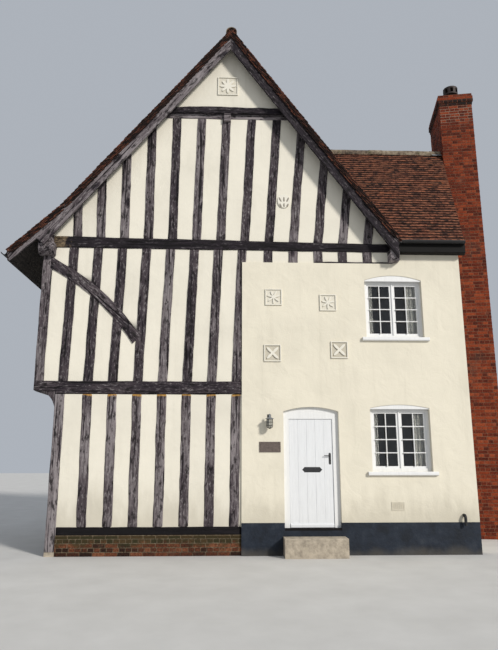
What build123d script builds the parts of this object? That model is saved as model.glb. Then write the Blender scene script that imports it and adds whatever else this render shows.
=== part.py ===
from build123d import *
from math import acos, atan2, cos, degrees, hypot, radians, sin, tan
import os

os.makedirs("parts", exist_ok=True)

# Plan: the gable's ridge line is X = 0, the middle of the house's depth is Y = 0
house_depth = 4400.0
wing_left = 3280.0  # gable's centre line to the ground floor's left face
jetty = 420.0  # how far the upper storey hangs out on the left
render_left = 250.0  # left edge of the rendered part of the front
wing_right = 3300.0  # right end of the gable's framing
range_right = 4660.0  # party wall's outer face at the front
party_skew = 14.5  # degrees the party wall turns from square
party_thickness = 230.0
wall_depth = 180.0
stud_depth = 150.0
infill_recess = 14.0
render_proud = 25.0
plinth_proud = 15.0  # painted plinth beyond the render

# Heights above the lowest ground
floor_level = 470.0
pad_height = 80.0
brickwork_height = 360.0
sole_plate_depth = 140.0
painted_height = 565.0
girding_bottom = 2900.0
girding_depth = 250.0
girding_nose = 185.0  # depth of the girding beam's end over the jetty
floorboard = 35.0
joist_depth = 150.0
joist_width = 120.0
joist_spacing = 430.0
tie_bottom = 5830.0
tie_depth_left = 235.0
tie_depth_right = 170.0
tie_dip = 30.0
stub_height = 280.0  # short uprights that show between the render and the tie beam
plate_rise = 243.0  # left wall plate's top over the tie beam's underside
plate_drop = 29.0  # right wall plate's top under the tie beam's underside
plate_width = 180.0
plate_depth_left = 200.0
plate_depth_right = 240.0
plate_nose = 80.0  # rounding under the ends of the wall plates
corbel_out = 200.0  # moulded block under the left plate's ends
corbel_drop = 230.0
corbel_width = 300.0
corbel_shift = 60.0  # beyond the left face of the house

# Roofs
left_pitch = 50.9
sprocket_pitch = 44.0
sprocket_run = 355.0  # from the left wall inwards to the change of slope
left_overhang = 624.0
right_overhang = 70.0
verge = 280.0
roof_build_up = 150.0
tile_build_up = 55.0
range_pitch = 53.7
range_eave = 180.0
range_eave_rise = 190.0  # range's eave over the tie beam's underside
party_verge = 126.0
barge_depth = 235.0
barge_thickness = 45.0
barge_foot = 295.0  # left board's foot beyond the change of slope
sprocket_board = 150.0  # depth of the board along the sprocket
barge_set_back = 14.0
barge_mitre_gap = 2.0
ridge_tile_radius = 120.0
ridge_tile_wall = 18.0
ridge_tile_sink = 66.0
gutter_radius = 58.0
gutter_wall = 3.0
fascia_thickness = 22.0
fascia_depth = 215.0

# Timber sizes and spacing
stud_width = 178.0
ground_stud_first = -2650.0
ground_stud_spacing = 460.0
ground_stud_fan = 1.02
upper_stud_first = -3152.0
upper_stud_spacing = 471.0
upper_stud_fan = 1.02
upper_stud_lean = 50.0
stub_first = 778.0
stub_spacing = 504.0
gable_stud_first = -3052.0
gable_stud_spacing = 465.5
gable_stud_growth = 1.8  # the spacing opens out to the right
gable_fan_centre = -1500.0
gable_fan = 1.7  # degrees of lean for each metre from the fan's centre
side_stud_spacing = 500.0
post_width = 180.0
jowl = 75.0
jowl_height = 700.0
bracket_reach = 240.0
bracket_drop = 330.0
bracket_thickness = 120.0
bracket_curve = 1.6  # radius of the bracket's curve as a share of its drop
brace_width = 205.0
brace_depth = 60.0
brace_bow = 140.0
brace_foot_out = 1900.0  # brace's foot and head from the left face, the floor and the tie beam
brace_foot_up = 810.0
brace_head_out = 250.0
brace_head_down = 380.0
collar_depth = 200.0
peak_height = 1990.0  # collar beam's underside to the ridge
peak_proud = 30.0
boss_size = 150.0
pentice_rise = 100.0  # over the collar beam's underside
pentice_depth = 150.0
pentice_proud = 70.0
pentice_camber = 40.0
pentice_half = 1650.0

# Door
door_left = 1130.0
door_width = 860.0
door_height = 1990.0
door_thickness = 44.0
threshold_depth = 40.0
door_gap = 7.0
stop_gap = 5.0
stop_lap = 15.0  # how far the stops cover the leaf's edges
stop_thickness = 15.0
jamb_left = 90.0
jamb_right = 100.0
door_head = 125.0
door_rise = 85.0
joint_gap = 0.5  # shoulders of the frame's joints
door_frame_depth = 100.0
door_set_back = 40.0
weather_bar_proud = 30.0
weather_bar_height = 70.0
weather_bar_inset = 30.0
weather_bar_slope = 21.0
hinge_shares = (0.12, 0.5, 0.88)  # heights of the hinges as shares of the leaf
hinge_radius = 7.0
hinge_length = 100.0
hinge_leaf = 3.0
pin_clearance = 0.3
latch_inset = 75.0
latch_rise = 1290.0
spindle_radius = 8.0
handle_plate_width = 45.0
handle_plate_height = 215.0
handle_plate_drop = 54.0
handle_plate_thickness = 4.0
lever_length = 110.0
lever_depth = 16.0
lever_thickness = 12.0
lever_rounding = 5.0
lever_stand_off = 28.0
letter_plate_width = 300.0
letter_plate_depth = 96.0
letter_plate_finial = 56.0
letter_plate_thickness = 6.0
letter_plate_rise = 1035.0
letter_plate_share = 0.52  # across the leaf
step_proud = 330.0
step_width = 1130.0
step_shift = 10.0
step_down = 140.0  # below the floor
step_rounding = 18.0

# Windows
window_width = 1150.0
window_centre = 3275.0
lower_sill_rise = 1000.0  # over the ground floor
lower_window_height = 1180.0
lower_window_rise = 65.0
upper_sill_rise = 880.0  # over the first floor
upper_window_height = 1170.0
upper_window_rise = 100.0
window_set_back = 90.0
window_frame_width = 55.0
window_mullion = 25.0
window_frame_depth = 80.0
casement_width = 42.0
casement_depth = 40.0
glass_thickness = 4.0
sill_depth = 70.0
sill_horn = 85.0
sill_proud = 60.0
sill_weathering = 14.0
rail_size = 30.0
curtain_width = 270.0
curtain_thickness = 26.0
curtain_clear = 15.0

# Chimney
chimney_clear = 146.0  # stack's near corner from the party wall, along the front
chimney_front = -270.0
chimney_skew = 10.0
chimney_width = 790.0
chimney_length = 1350.0
chimney_rise = 1475.0  # cap's top over the range's ridge
cap_steps = (12.0, 32.0, 32.0, 14.0)  # how far each course of the cap stands out, from below
cap_course = 75.0
flue_size = 300.0
flue_back = 400.0  # flue's centre from the stack's front
hearth = 900.0
cowl_base = 400.0
cowl_base_depth = 40.0
cowl_pipe_radius = 115.0
cowl_wall = 10.0
cowl_drum_radius = 180.0
cowl_drum_bottom = 205.0
cowl_drum_top = 415.0
cowl_dome = 40.0
cowl_slots = 8
cowl_slot_width = 70.0
cowl_slot_height = 120.0

# Small fittings on the walls
lantern_x = 770.0
lantern_rise = 1780.0  # body's foot over the ground floor
lantern_stand_off = 130.0
lantern_body = 190.0
lantern_foot_width = 90.0
lantern_head_width = 150.0
lantern_roof = 75.0
lantern_roof_lip = 8.0
lantern_finial = 12.0
lantern_plate = (70.0, 170.0, 8.0)
lantern_arm = 12.0
name_plate_x = 780.0
name_plate_rise = 1450.0
name_plate_size = (400.0, 190.0)
name_plate_thickness = 12.0
name_plate_border = 14.0
name_plate_relief = 3.0
air_brick_x = 3145.0
air_brick_z = 850.0
air_brick_size = (240.0, 150.0)
air_brick_proud = 10.0
air_brick_holes = (6, 3)
air_brick_hole = 22.0
air_brick_bar = 14.0
vent_x = 4360.0
vent_z = 690.0
vent_radius = 27.0
vent_wall = 3.0
vent_bend = 48.0
vent_stand_off = 30.0
vent_drop = 130.0
panel_size = 330.0
panel_ground = 5.0
panel_relief = 24.0
panel_border = 18.0
leaf_panels = ((875.0, 800.0), (1955.0, 695.0))  # place along the wall and over the upper sill
flower_panels = ((845.0, -325.0), (2150.0, -255.0))
gable_panel_x = -65.0
gable_panel_rise = 765.0  # over the collar beam's underside
gable_panel_size = 430.0
badge_x = 1110.0
badge_rise = 1065.0  # over the tie beam's underside
badge_width = 260.0
badge_height = 300.0

# Levels and lines that follow
upper_left = wing_left + jetty
front = -house_depth / 2
sole_top = brickwork_height + sole_plate_depth
girding_top = girding_bottom + girding_depth
nose_bottom = girding_top - girding_nose
joist_top = girding_top - floorboard
render_top = tie_bottom - stub_height
left_plate_top = tie_bottom + plate_rise
right_plate_top = tie_bottom - plate_drop
sprocket_break = upper_left - sprocket_run
left_eave = upper_left + left_overhang
right_eave = wing_right + right_overhang
break_height = left_plate_top + roof_build_up / cos(radians(sprocket_pitch)) \
    + sprocket_run * tan(radians(sprocket_pitch))
ridge_height = break_height + sprocket_break * tan(radians(left_pitch))
eave_left_height = break_height - (left_eave - sprocket_break) * tan(radians(sprocket_pitch))
right_run = wing_right + plate_width / 2
right_fall = ridge_height - right_plate_top
right_pitch = degrees(acos(roof_build_up / hypot(right_run, right_fall)) - atan2(right_run, right_fall))
valley_reach = house_depth / 2 + range_eave
range_eave_height = tie_bottom + range_eave_rise
range_ridge = range_eave_height + valley_reach * tan(radians(range_pitch))
collar_bottom = ridge_height - peak_height
high = 2 * ridge_height
far_right = 2 * range_right
door_right = door_left + door_width
door_frame_left = door_left - jamb_left
door_frame_right = door_right + jamb_right
door_centre = (door_frame_left + door_frame_right) / 2
door_opening = door_frame_right - door_frame_left
lower_sill = floor_level + lower_sill_rise
upper_sill = girding_top + upper_sill_rise
window_rows = ((lower_sill, lower_window_height, lower_window_rise),
               (upper_sill, upper_window_height, upper_window_rise))
front_face = Plane.XZ.offset(house_depth / 2)
wall_face = Plane.XZ.offset(house_depth / 2 + render_proud)


def meet(p, slope_p, q, slope_q):
    """Where a line through p meets a line through q, each with its slope."""
    x = (q[1] - p[1] + slope_p * p[0] - slope_q * q[0]) / (slope_p - slope_q)
    return (x, p[1] + slope_p * (x - p[0]))


def wing_line(drop):
    """Points of the wing's roof line from left eave to right eave, lowered square to the slopes."""
    left, right, foot = (tan(radians(a)) for a in (left_pitch, -right_pitch, sprocket_pitch))
    apex_l = (0, ridge_height - drop / cos(radians(left_pitch)))
    apex_r = (0, ridge_height - drop / cos(radians(right_pitch)))
    bend = (-sprocket_break, break_height - drop / cos(radians(sprocket_pitch)))
    apex = meet(apex_l, left, apex_r, right)
    knee = meet(apex_l, left, bend, foot)
    tip = (-left_eave, bend[1] - (left_eave - sprocket_break) * foot)
    end = (right_eave, apex_r[1] + right_eave * right)
    return tip, knee, apex, end


def wing_prism(drop, reach):
    """All that lies below the wing's roof line, reach beyond the front and back walls."""
    tip, knee, apex, end = wing_line(drop)
    with BuildPart(mode=Mode.PRIVATE) as prism:
        with BuildSketch(Plane.XZ):
            with BuildLine():
                Polyline((tip[0], 0), tip, knee, apex, end, (end[0], 0), close=True)
            make_face()
        extrude(amount=house_depth / 2 + reach, both=True)
    return prism.part


def range_prism(drop):
    """All that lies below the range's roof line, lowered square to the slope."""
    top = range_ridge - drop / cos(radians(range_pitch))
    foot = top - valley_reach * tan(radians(range_pitch))
    with BuildPart(mode=Mode.PRIVATE) as prism:
        with BuildSketch(Plane.YZ):
            with BuildLine():
                Polyline((-valley_reach, 0), (-valley_reach, foot), (0, top), (valley_reach, foot),
                         (valley_reach, 0), close=True)
            make_face()
        extrude(amount=far_right)
    return prism.part


def party_line(y, offset):
    """X of the party wall's outer face, moved out by offset, at depth y."""
    return range_right + offset / cos(radians(party_skew)) + (y - front) * tan(radians(party_skew))


def party_side(offset):
    """All that lies to the right of the party wall's outer face moved out by offset."""
    reach = house_depth
    with BuildPart(mode=Mode.PRIVATE) as side:
        with BuildSketch():
            with BuildLine():
                Polyline((party_line(-reach, offset), -reach), (party_line(reach, offset), reach),
                         (2 * far_right, reach), (2 * far_right, -reach), close=True)
            make_face()
        extrude(amount=high)
    return side.part


def arched_face(centre, width, bottom, height, rise):
    """Outline of an opening with a shallow arched head, in width and height."""
    left, right, spring = centre - width / 2, centre + width / 2, bottom + height
    with BuildSketch(mode=Mode.PRIVATE) as outline:
        with BuildLine():
            Polyline((left, spring), (left, bottom), (right, bottom), (right, spring))
            ThreePointArc((right, spring), (centre, spring + rise), (left, spring))
        make_face()
    return outline.sketch


def box_between(low, high_corner):
    """Solid block between two corners."""
    size = [b - a for a, b in zip(low, high_corner)]
    centre = tuple((a + b) / 2 for a, b in zip(low, high_corner))
    with BuildPart(mode=Mode.PRIVATE) as block:
        with Locations(centre):
            Box(*size)
    return block.part


def front_stud(foot, head, width):
    """One upright of the front frame between two points of its centre line."""
    half = width / 2
    with BuildPart(mode=Mode.PRIVATE) as stud:
        with BuildSketch(front_face):
            with BuildLine():
                Polyline((foot[0] - half, foot[1]), (foot[0] + half, foot[1]),
                         (head[0] + half, head[1]), (head[0] - half, head[1]), close=True)
            make_face()
        extrude(amount=-stud_depth)
    return stud.part


under_wing = wing_prism(roof_build_up, verge)
under_range = range_prism(roof_build_up)
beyond_party = party_side(0)
beyond_verge = party_side(party_verge)
inside_party = party_side(-party_thickness)

# Plan area that the range's roof covers, from the valleys to the right
valley_ridge = (ridge_height - range_ridge) / tan(radians(right_pitch))
valley_foot = (ridge_height - range_eave_height) / tan(radians(right_pitch))
with BuildPart() as range_cover:
    with BuildSketch():
        with BuildLine():
            Polyline((valley_ridge, 0), (valley_foot, -valley_reach), (far_right, -valley_reach),
                     (far_right, valley_reach), (valley_foot, valley_reach), close=True)
        make_face()
    extrude(amount=high)

# Main tie beams, front and back, thinner and lower at the right end
tie_left = upper_left - post_width
with BuildPart() as tie_beams:
    with BuildSketch(front_face.offset(infill_recess)):
        with BuildLine():
            Polyline((-tie_left, tie_bottom), (wing_right, tie_bottom - tie_dip),
                     (wing_right, tie_bottom - tie_dip + tie_depth_right),
                     (-tie_left, tie_bottom + tie_depth_left), close=True)
        make_face()
    extrude(amount=-stud_depth - infill_recess)
    add(under_wing, mode=Mode.INTERSECT)
    mirror(about=Plane.XZ)

# Wall plates of the wing, their rounded ends carrying the feet of the bargeboards
plate_reach = house_depth / 2 + verge - barge_set_back - barge_thickness
with BuildPart() as wall_plates:
    for x, top, depth in ((-upper_left + plate_width / 2, left_plate_top, plate_depth_left),
                          (wing_right, right_plate_top, plate_depth_right)):
        with BuildSketch(Plane.YZ.offset(x)) as plate_side:
            with Locations((0, top - depth / 2)):
                Rectangle(2 * plate_reach, depth)
            fillet(plate_side.vertices().group_by(Axis.Y)[0], plate_nose)
        extrude(amount=plate_width / 2, both=True)
    corbel_top = left_plate_top - plate_depth_left
    corbel_foot = corbel_top - corbel_drop
    with BuildSketch(Plane.YZ.offset(-upper_left - corbel_shift)):
        with BuildLine():
            Polyline((front, corbel_foot), (front, corbel_top), (front - corbel_out, corbel_top),
                     (front - corbel_out, corbel_top - corbel_drop / 3))
            ThreePointArc((front - corbel_out, corbel_top - corbel_drop / 3),
                          (front - corbel_out * 0.85, corbel_top - corbel_drop * 0.8),
                          (front - corbel_out / 3, corbel_foot))
            Line((front - corbel_out / 3, corbel_foot), (front, corbel_foot))
        make_face()
    extrude(amount=corbel_width)
    mirror(about=Plane.XZ)
    add(tie_beams.part, mode=Mode.SUBTRACT)

# Girding beams, front and back, shallower where they carry the jetty
with BuildPart() as girding_beams:
    with BuildSketch(front_face):
        with BuildLine():
            Polyline((-upper_left, girding_top), (-upper_left, nose_bottom), (-wing_left, nose_bottom),
                     (-wing_left, girding_bottom), (render_left, girding_bottom),
                     (render_left, girding_top), close=True)
        make_face()
    extrude(amount=-stud_depth)
    mirror(about=Plane.XZ)

inner_depth = house_depth - 2 * stud_depth
joist_left = upper_left - stud_depth
with BuildPart() as floor_joists:
    with Locations(((render_left - joist_left) / 2, 0, joist_top - joist_depth / 2)):
        with GridLocations(joist_left, joist_spacing, 1, int(inner_depth / joist_spacing)):
            Box(joist_left + render_left, joist_width, joist_depth)

# Jetty plate along the left side
with BuildPart() as jetty_plate:
    with Locations((-upper_left + stud_depth / 2, 0, (nose_bottom + girding_top) / 2)):
        Box(stud_depth, inner_depth, girding_nose)

with BuildPart() as first_floor:
    add(box_between((-joist_left, -inner_depth / 2, joist_top), (far_right, inner_depth / 2, girding_top)))
    add(inside_party, mode=Mode.SUBTRACT)
    for side in (-1, 1):
        with Locations((range_right + render_left, side * (house_depth - wall_depth) / 2, joist_top)):
            Box(2 * range_right, wall_depth, girding_depth, mode=Mode.SUBTRACT)

# Ground floor on its solid bed
bed_reach = house_depth / 2 - wall_depth
with BuildPart() as ground_floor:
    add(box_between((-wing_left + stud_depth, -bed_reach, 0), (far_right, bed_reach, floor_level)))
    add(inside_party, mode=Mode.SUBTRACT)

# Brick plinth under the timber part
with BuildPart() as brick_plinth:
    add(box_between((-wing_left + post_width, front, 0), (render_left, front + wall_depth, brickwork_height)))
    mirror(about=Plane.XZ)
    add(box_between((-wing_left, front + post_width, 0),
                    (-wing_left + stud_depth, -front - post_width, brickwork_height)))

# Painted plinth under the rendered part, let down for the doorway's threshold
with BuildPart() as painted_plinth:
    add(box_between((render_left, front - render_proud - plinth_proud, 0),
                    (far_right, front + wall_depth, painted_height)))
    chamfer(painted_plinth.edges().filter_by(Axis.X).group_by(Axis.Y)[0].sort_by(Axis.Z)[-1],
            plinth_proud * 0.8)
    mirror(about=Plane.XZ)
    add(beyond_party, mode=Mode.SUBTRACT)
    add(box_between((door_frame_left, front - wall_depth, floor_level - threshold_depth),
                    (door_frame_right, front + 2 * wall_depth, high)), mode=Mode.SUBTRACT)

# Pad stones under the corner posts
with BuildPart() as padstones:
    add(box_between((-wing_left, front, 0), (-wing_left + post_width, front + post_width, pad_height)))
    chamfer(padstones.edges().group_by(Axis.Z)[-1], pad_height / 8)
    mirror(about=Plane.XZ)

# Sole plates on the brick plinth
with BuildPart() as sole_plates:
    add(box_between((-wing_left + post_width, front, brickwork_height),
                    (render_left, front + stud_depth, sole_top)))
    mirror(about=Plane.XZ)
    add(box_between((-wing_left, front + post_width, brickwork_height),
                    (-wing_left + stud_depth, -front - post_width, sole_top)))

# Corner posts of both storeys; the upper ones thicken to a jowl at the head
post_top = left_plate_top - plate_depth_left
post_right = -upper_left + post_width
with BuildPart() as corner_posts:
    add(box_between((-wing_left, front, pad_height),
                    (-wing_left + post_width, front + post_width, girding_bottom)))
    chamfer(corner_posts.edges().filter_by(Axis.Z), infill_recess / 2)
    with BuildSketch(front_face):
        with BuildLine():
            Polyline((post_right + jowl, tie_bottom), (post_right, tie_bottom), (post_right, post_top),
                     (-upper_left, post_top), (-upper_left, girding_top), (post_right, girding_top),
                     (post_right, post_top - jowl_height))
            ThreePointArc((post_right, post_top - jowl_height),
                          (post_right + jowl / 4, (post_top - jowl_height + tie_bottom) / 2),
                          (post_right + jowl, tie_bottom))
        make_face()
    extrude(amount=-post_width)
    add(tie_beams.part, mode=Mode.SUBTRACT)
    mirror(about=Plane.XZ)

# Curved brackets under the jetty
with BuildPart() as jetty_brackets:
    with BuildSketch(front_face.offset((bracket_thickness - post_width) / 2)):
        with BuildLine():
            out = (-wing_left - bracket_reach, nose_bottom)
            down = (-wing_left, nose_bottom - bracket_drop)
            Polyline(out, (-wing_left, nose_bottom), down)
            RadiusArc(down, out, -bracket_drop * bracket_curve)
        make_face()
    extrude(amount=-bracket_thickness)
    mirror(about=Plane.XZ)

# Bowed braces laid over the uprights beside the corner posts
with BuildPart() as corner_braces:
    with BuildSketch(front_face.offset(infill_recess / 2)):
        with BuildLine():
            foot = (-upper_left + brace_foot_out, girding_top + brace_foot_up)
            head = (-upper_left + brace_head_out, tie_bottom - brace_head_down)
            span = hypot(foot[0] - head[0], foot[1] - head[1])
            across = ((head[1] - foot[1]) / span, (foot[0] - head[0]) / span)
            middle = ((foot[0] + head[0]) / 2, (foot[1] + head[1]) / 2)
            near, far = ([(p[0] + side * across[0], p[1] + side * across[1])
                          for p, side in ((foot, s), (middle, s + brace_bow), (head, s))]
                         for s in (-brace_width / 2, brace_width / 2))
            ThreePointArc(*near)
            Line(near[2], far[2])
            ThreePointArc(far[2], far[1], far[0])
            Line(far[0], near[0])
        make_face()
    extrude(amount=-brace_depth)
    add(corner_posts.part, mode=Mode.SUBTRACT)
    mirror(about=Plane.XZ)

# What the rendered walls fill: under the range's roof, and under the stubs left of the gable's end
with BuildPart() as rendered_shape:
    add(under_range)
    add(box_between((0, -house_depth, render_top), (wing_right, house_depth, high)), mode=Mode.SUBTRACT)
    add(box_between((0, -house_depth, 0), (render_left, house_depth, high)), mode=Mode.SUBTRACT)
    add(box_between((0, -house_depth, 0), (far_right, house_depth, painted_height)), mode=Mode.SUBTRACT)
    add(beyond_party, mode=Mode.SUBTRACT)
    add(wall_plates.part, mode=Mode.SUBTRACT)

with BuildPart() as window_cuts:
    with BuildSketch(Plane.XZ):
        for row in window_rows:
            add(arched_face(window_centre, window_width, *row))
    extrude(amount=house_depth, both=True)

with BuildPart() as door_cut:
    with BuildSketch(Plane.XZ):
        add(arched_face(door_centre, door_opening, floor_level, door_height + door_head, door_rise))
    extrude(amount=house_depth)


def rendered_wall(left, right):
    """Stretch of rendered front wall between two places, less its window and door openings."""
    with BuildPart(mode=Mode.PRIVATE) as wall:
        add(box_between((left, front - render_proud, 0), (right, front + wall_depth, high)))
        add(rendered_shape.part, mode=Mode.INTERSECT)
        add(window_cuts.part, mode=Mode.SUBTRACT)
        add(door_cut.part, mode=Mode.SUBTRACT)
    return wall.part


with BuildPart() as front_wall_left:
    add(rendered_wall(render_left, door_frame_left))

with BuildPart() as front_wall_over_door:
    add(rendered_wall(door_frame_left, door_frame_right))

with BuildPart() as front_wall_right:
    add(rendered_wall(door_frame_right, far_right))

with BuildPart() as back_wall:
    add(box_between((render_left, -front - wall_depth, 0), (far_right, render_proud - front, high)))
    add(rendered_shape.part, mode=Mode.INTERSECT)
    add(window_cuts.part, mode=Mode.SUBTRACT)

# Uprights of the ground floor, then of the upper floor with the stubs that show over the render
side_reach = house_depth - 2 * post_width
side_count = int(side_reach / side_stud_spacing)
ground_count = int((render_left - ground_stud_first) / ground_stud_spacing) + 1
with BuildPart() as ground_studs:
    for i in range(ground_count):
        foot_x = ground_stud_first + i * ground_stud_spacing
        head_x = foot_x + (i - ground_count / 2) * ground_stud_spacing * (ground_stud_fan - 1)
        add(front_stud((foot_x, sole_top), (head_x, girding_bottom), stud_width))
    mirror(about=Plane.XZ)
    with Locations((-wing_left + stud_depth / 2, 0, (sole_top + nose_bottom) / 2)):
        with GridLocations(stud_depth, side_stud_spacing, 1, side_count):
            Box(stud_depth, stud_width, nose_bottom - sole_top)

upper_count = int((render_left - upper_stud_first) / upper_stud_spacing) + 1
stub_count = int((wing_right - stub_first) / stub_spacing)
with BuildPart() as upper_studs:
    for i in range(upper_count):
        foot_x = upper_stud_first + i * upper_stud_spacing
        head_x = upper_stud_first + upper_stud_lean + i * upper_stud_spacing * upper_stud_fan
        add(front_stud((foot_x, girding_top), (head_x, tie_bottom + tie_depth_left), stud_width))
    for i in range(stub_count):
        stub_x = stub_first + i * stub_spacing
        add(front_stud((stub_x, render_top), (stub_x, tie_bottom), stud_width))
    add(box_between((render_left, front - stud_depth, 0), (far_right, 0, render_top)), mode=Mode.SUBTRACT)
    add(box_between((wing_right - plate_width / 2, front - stud_depth, 0), (far_right, 0, high)),
        mode=Mode.SUBTRACT)
    add(tie_beams.part, mode=Mode.SUBTRACT)
    add(corner_braces.part, mode=Mode.SUBTRACT)
    add(box_between((-upper_left, front - stud_depth, tie_bottom), (far_right, 0, high)), mode=Mode.SUBTRACT)
    mirror(about=Plane.XZ)
    with Locations((-upper_left + stud_depth / 2, 0, (girding_top + post_top) / 2)):
        with GridLocations(stud_depth, side_stud_spacing, 1, side_count):
            Box(stud_depth, stud_width, post_top - girding_top)

# Plaster between the uprights
infill_depth = stud_depth - 2 * infill_recess
with BuildPart() as ground_infill:
    add(box_between((-wing_left + post_width, front + infill_recess, sole_top),
                    (render_left, front + infill_recess + infill_depth, girding_bottom)))
    mirror(about=Plane.XZ)
    add(box_between((-wing_left + infill_recess, front + post_width, sole_top),
                    (-wing_left + infill_recess + infill_depth, -front - post_width, nose_bottom)))
    add(ground_studs.part, mode=Mode.SUBTRACT)

with BuildPart() as upper_infill:
    with BuildSketch(front_face.offset(-infill_recess)):
        with BuildLine():
            Polyline((post_right, girding_top), (render_left, girding_top), (render_left, render_top),
                     (wing_right, render_top), (wing_right, tie_bottom - tie_dip),
                     (post_right, tie_bottom), close=True)
        make_face()
    extrude(amount=-infill_depth)
    add(tie_beams.part, mode=Mode.SUBTRACT)
    add(corner_braces.part, mode=Mode.SUBTRACT)
    add(corner_posts.part, mode=Mode.SUBTRACT)
    mirror(about=Plane.XZ)
    add(box_between((-upper_left + infill_recess, front + post_width, girding_top),
                    (-upper_left + infill_recess + infill_depth, -front - post_width, post_top)))
    add(upper_studs.part, mode=Mode.SUBTRACT)
    add(wall_plates.part, mode=Mode.SUBTRACT)

# Collar beams high in the gables, each with the end of the collar purlin
with BuildPart() as collar_beams:
    add(box_between((-wing_right, front, collar_bottom),
                    (wing_right, front + stud_depth, collar_bottom + collar_depth)))
    add(under_wing, mode=Mode.INTERSECT)
    add(box_between((-boss_size, front - pentice_proud, collar_bottom - boss_size / 2),
                    (0, front + stud_depth, collar_bottom + pentice_rise)))
    mirror(about=Plane.XZ)

# Uprights of the gables, fanning out from left to right
gable_count = int((wing_right - gable_stud_first) / (gable_stud_spacing + gable_stud_growth))
with BuildPart() as gable_studs:
    for i in range(gable_count):
        foot_x = gable_stud_first + i * (gable_stud_spacing + i * gable_stud_growth)
        lean = tan(radians(gable_fan * (foot_x - gable_fan_centre) / 1000))
        head_x = foot_x + (collar_bottom - tie_bottom) * lean
        add(front_stud((foot_x, tie_bottom), (head_x, collar_bottom), stud_width))
    add(under_wing, mode=Mode.INTERSECT)
    add(tie_beams.part, mode=Mode.SUBTRACT)
    add(box_between((-upper_left, front - verge, 0), (far_right, 0, tie_bottom)), mode=Mode.SUBTRACT)
    mirror(about=Plane.XZ)
    add(collar_beams.part, mode=Mode.SUBTRACT)

with BuildPart() as gable_infill:
    add(box_between((-tie_left, front + infill_recess, tie_bottom),
                    (wing_right, front + infill_recess + infill_depth, collar_bottom)))
    add(under_wing, mode=Mode.INTERSECT)
    add(tie_beams.part, mode=Mode.SUBTRACT)
    add(wall_plates.part, mode=Mode.SUBTRACT)
    mirror(about=Plane.XZ)
    add(gable_studs.part, mode=Mode.SUBTRACT)
    add(collar_beams.part, mode=Mode.SUBTRACT)

# Plain plastered peaks above the collars, standing forward of the frame
with BuildPart() as gable_peaks:
    add(box_between((-wing_right, front - peak_proud, collar_bottom + collar_depth),
                    (wing_right, front + stud_depth - infill_recess, high)))
    add(under_wing, mode=Mode.INTERSECT)
    mirror(about=Plane.XZ)

# Cambered boards across the feet of the peaks
with BuildPart() as pentice_boards:
    with BuildSketch(front_face.offset(pentice_proud)):
        with BuildLine():
            low_z = collar_bottom + pentice_rise
            high_z = low_z + pentice_depth
            Polyline((-pentice_half, high_z - pentice_camber), (-pentice_half, low_z), (pentice_half, low_z),
                     (pentice_half, high_z - pentice_camber))
            ThreePointArc((pentice_half, high_z - pentice_camber), (0, high_z),
                          (-pentice_half, high_z - pentice_camber))
        make_face()
    extrude(amount=-pentice_proud)
    add(under_wing, mode=Mode.INTERSECT)
    add(gable_peaks.part, mode=Mode.SUBTRACT)
    add(collar_beams.part, mode=Mode.SUBTRACT)
    mirror(about=Plane.XZ)

# Bargeboards on both gables, mitred at the ridge
barge_top = wing_line(tile_build_up)
barge_low = wing_line(tile_build_up + barge_depth)
steep, square_cut, shallow = (tan(radians(a)) for a in (left_pitch, left_pitch - 90, sprocket_pitch))
heel_x = -sprocket_break - barge_foot
barge_heel = (heel_x, barge_low[2][1] + (heel_x - barge_low[2][0]) * steep)
tip_x, tip_z = wing_line(tile_build_up + sprocket_board)[0]
board_tip = (tip_x + sprocket_board / 3, tip_z + sprocket_board / 3 * shallow)
barge_toe = meet(barge_heel, square_cut, board_tip, shallow)
with BuildPart() as bargeboards:
    with BuildSketch(front_face.offset(verge - barge_set_back)):
        with BuildLine():
            Polyline(*barge_top, barge_low[3], barge_low[2], barge_heel, barge_toe, board_tip, close=True)
        make_face()
    extrude(amount=-barge_thickness)
    with Locations((barge_top[2][0], front - verge, ridge_height)):
        Box(barge_mitre_gap, verge, ridge_height, mode=Mode.SUBTRACT)
    mirror(about=Plane.XZ)

# Room for the bargeboards under the tiles of the verges
with BuildPart() as barge_room:
    with BuildSketch(front_face.offset(verge)):
        with BuildLine():
            Polyline((barge_top[0][0], 0), *barge_top, (barge_top[3][0], 0), close=True)
        make_face()
    extrude(amount=-barge_set_back - barge_thickness)
    mirror(about=Plane.XZ)

# Roof slopes of the wing: rafters, laths and tiles as one slab a side
tops, lows = wing_line(0), wing_line(roof_build_up)
with BuildPart() as wing_roof_left:
    with BuildSketch(Plane.XZ):
        with BuildLine():
            Polyline(tops[0], tops[1], tops[2], lows[2], lows[1], lows[0], close=True)
        make_face()
    extrude(amount=house_depth / 2 + verge, both=True)
    add(barge_room.part, mode=Mode.SUBTRACT)

with BuildPart() as wing_roof_right:
    with BuildSketch(Plane.XZ):
        with BuildLine():
            Polyline(tops[2], tops[3], lows[3], lows[2], close=True)
        make_face()
    extrude(amount=house_depth / 2 + verge, both=True)
    add(range_cover.part, mode=Mode.SUBTRACT)
    add(barge_room.part, mode=Mode.SUBTRACT)

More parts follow.
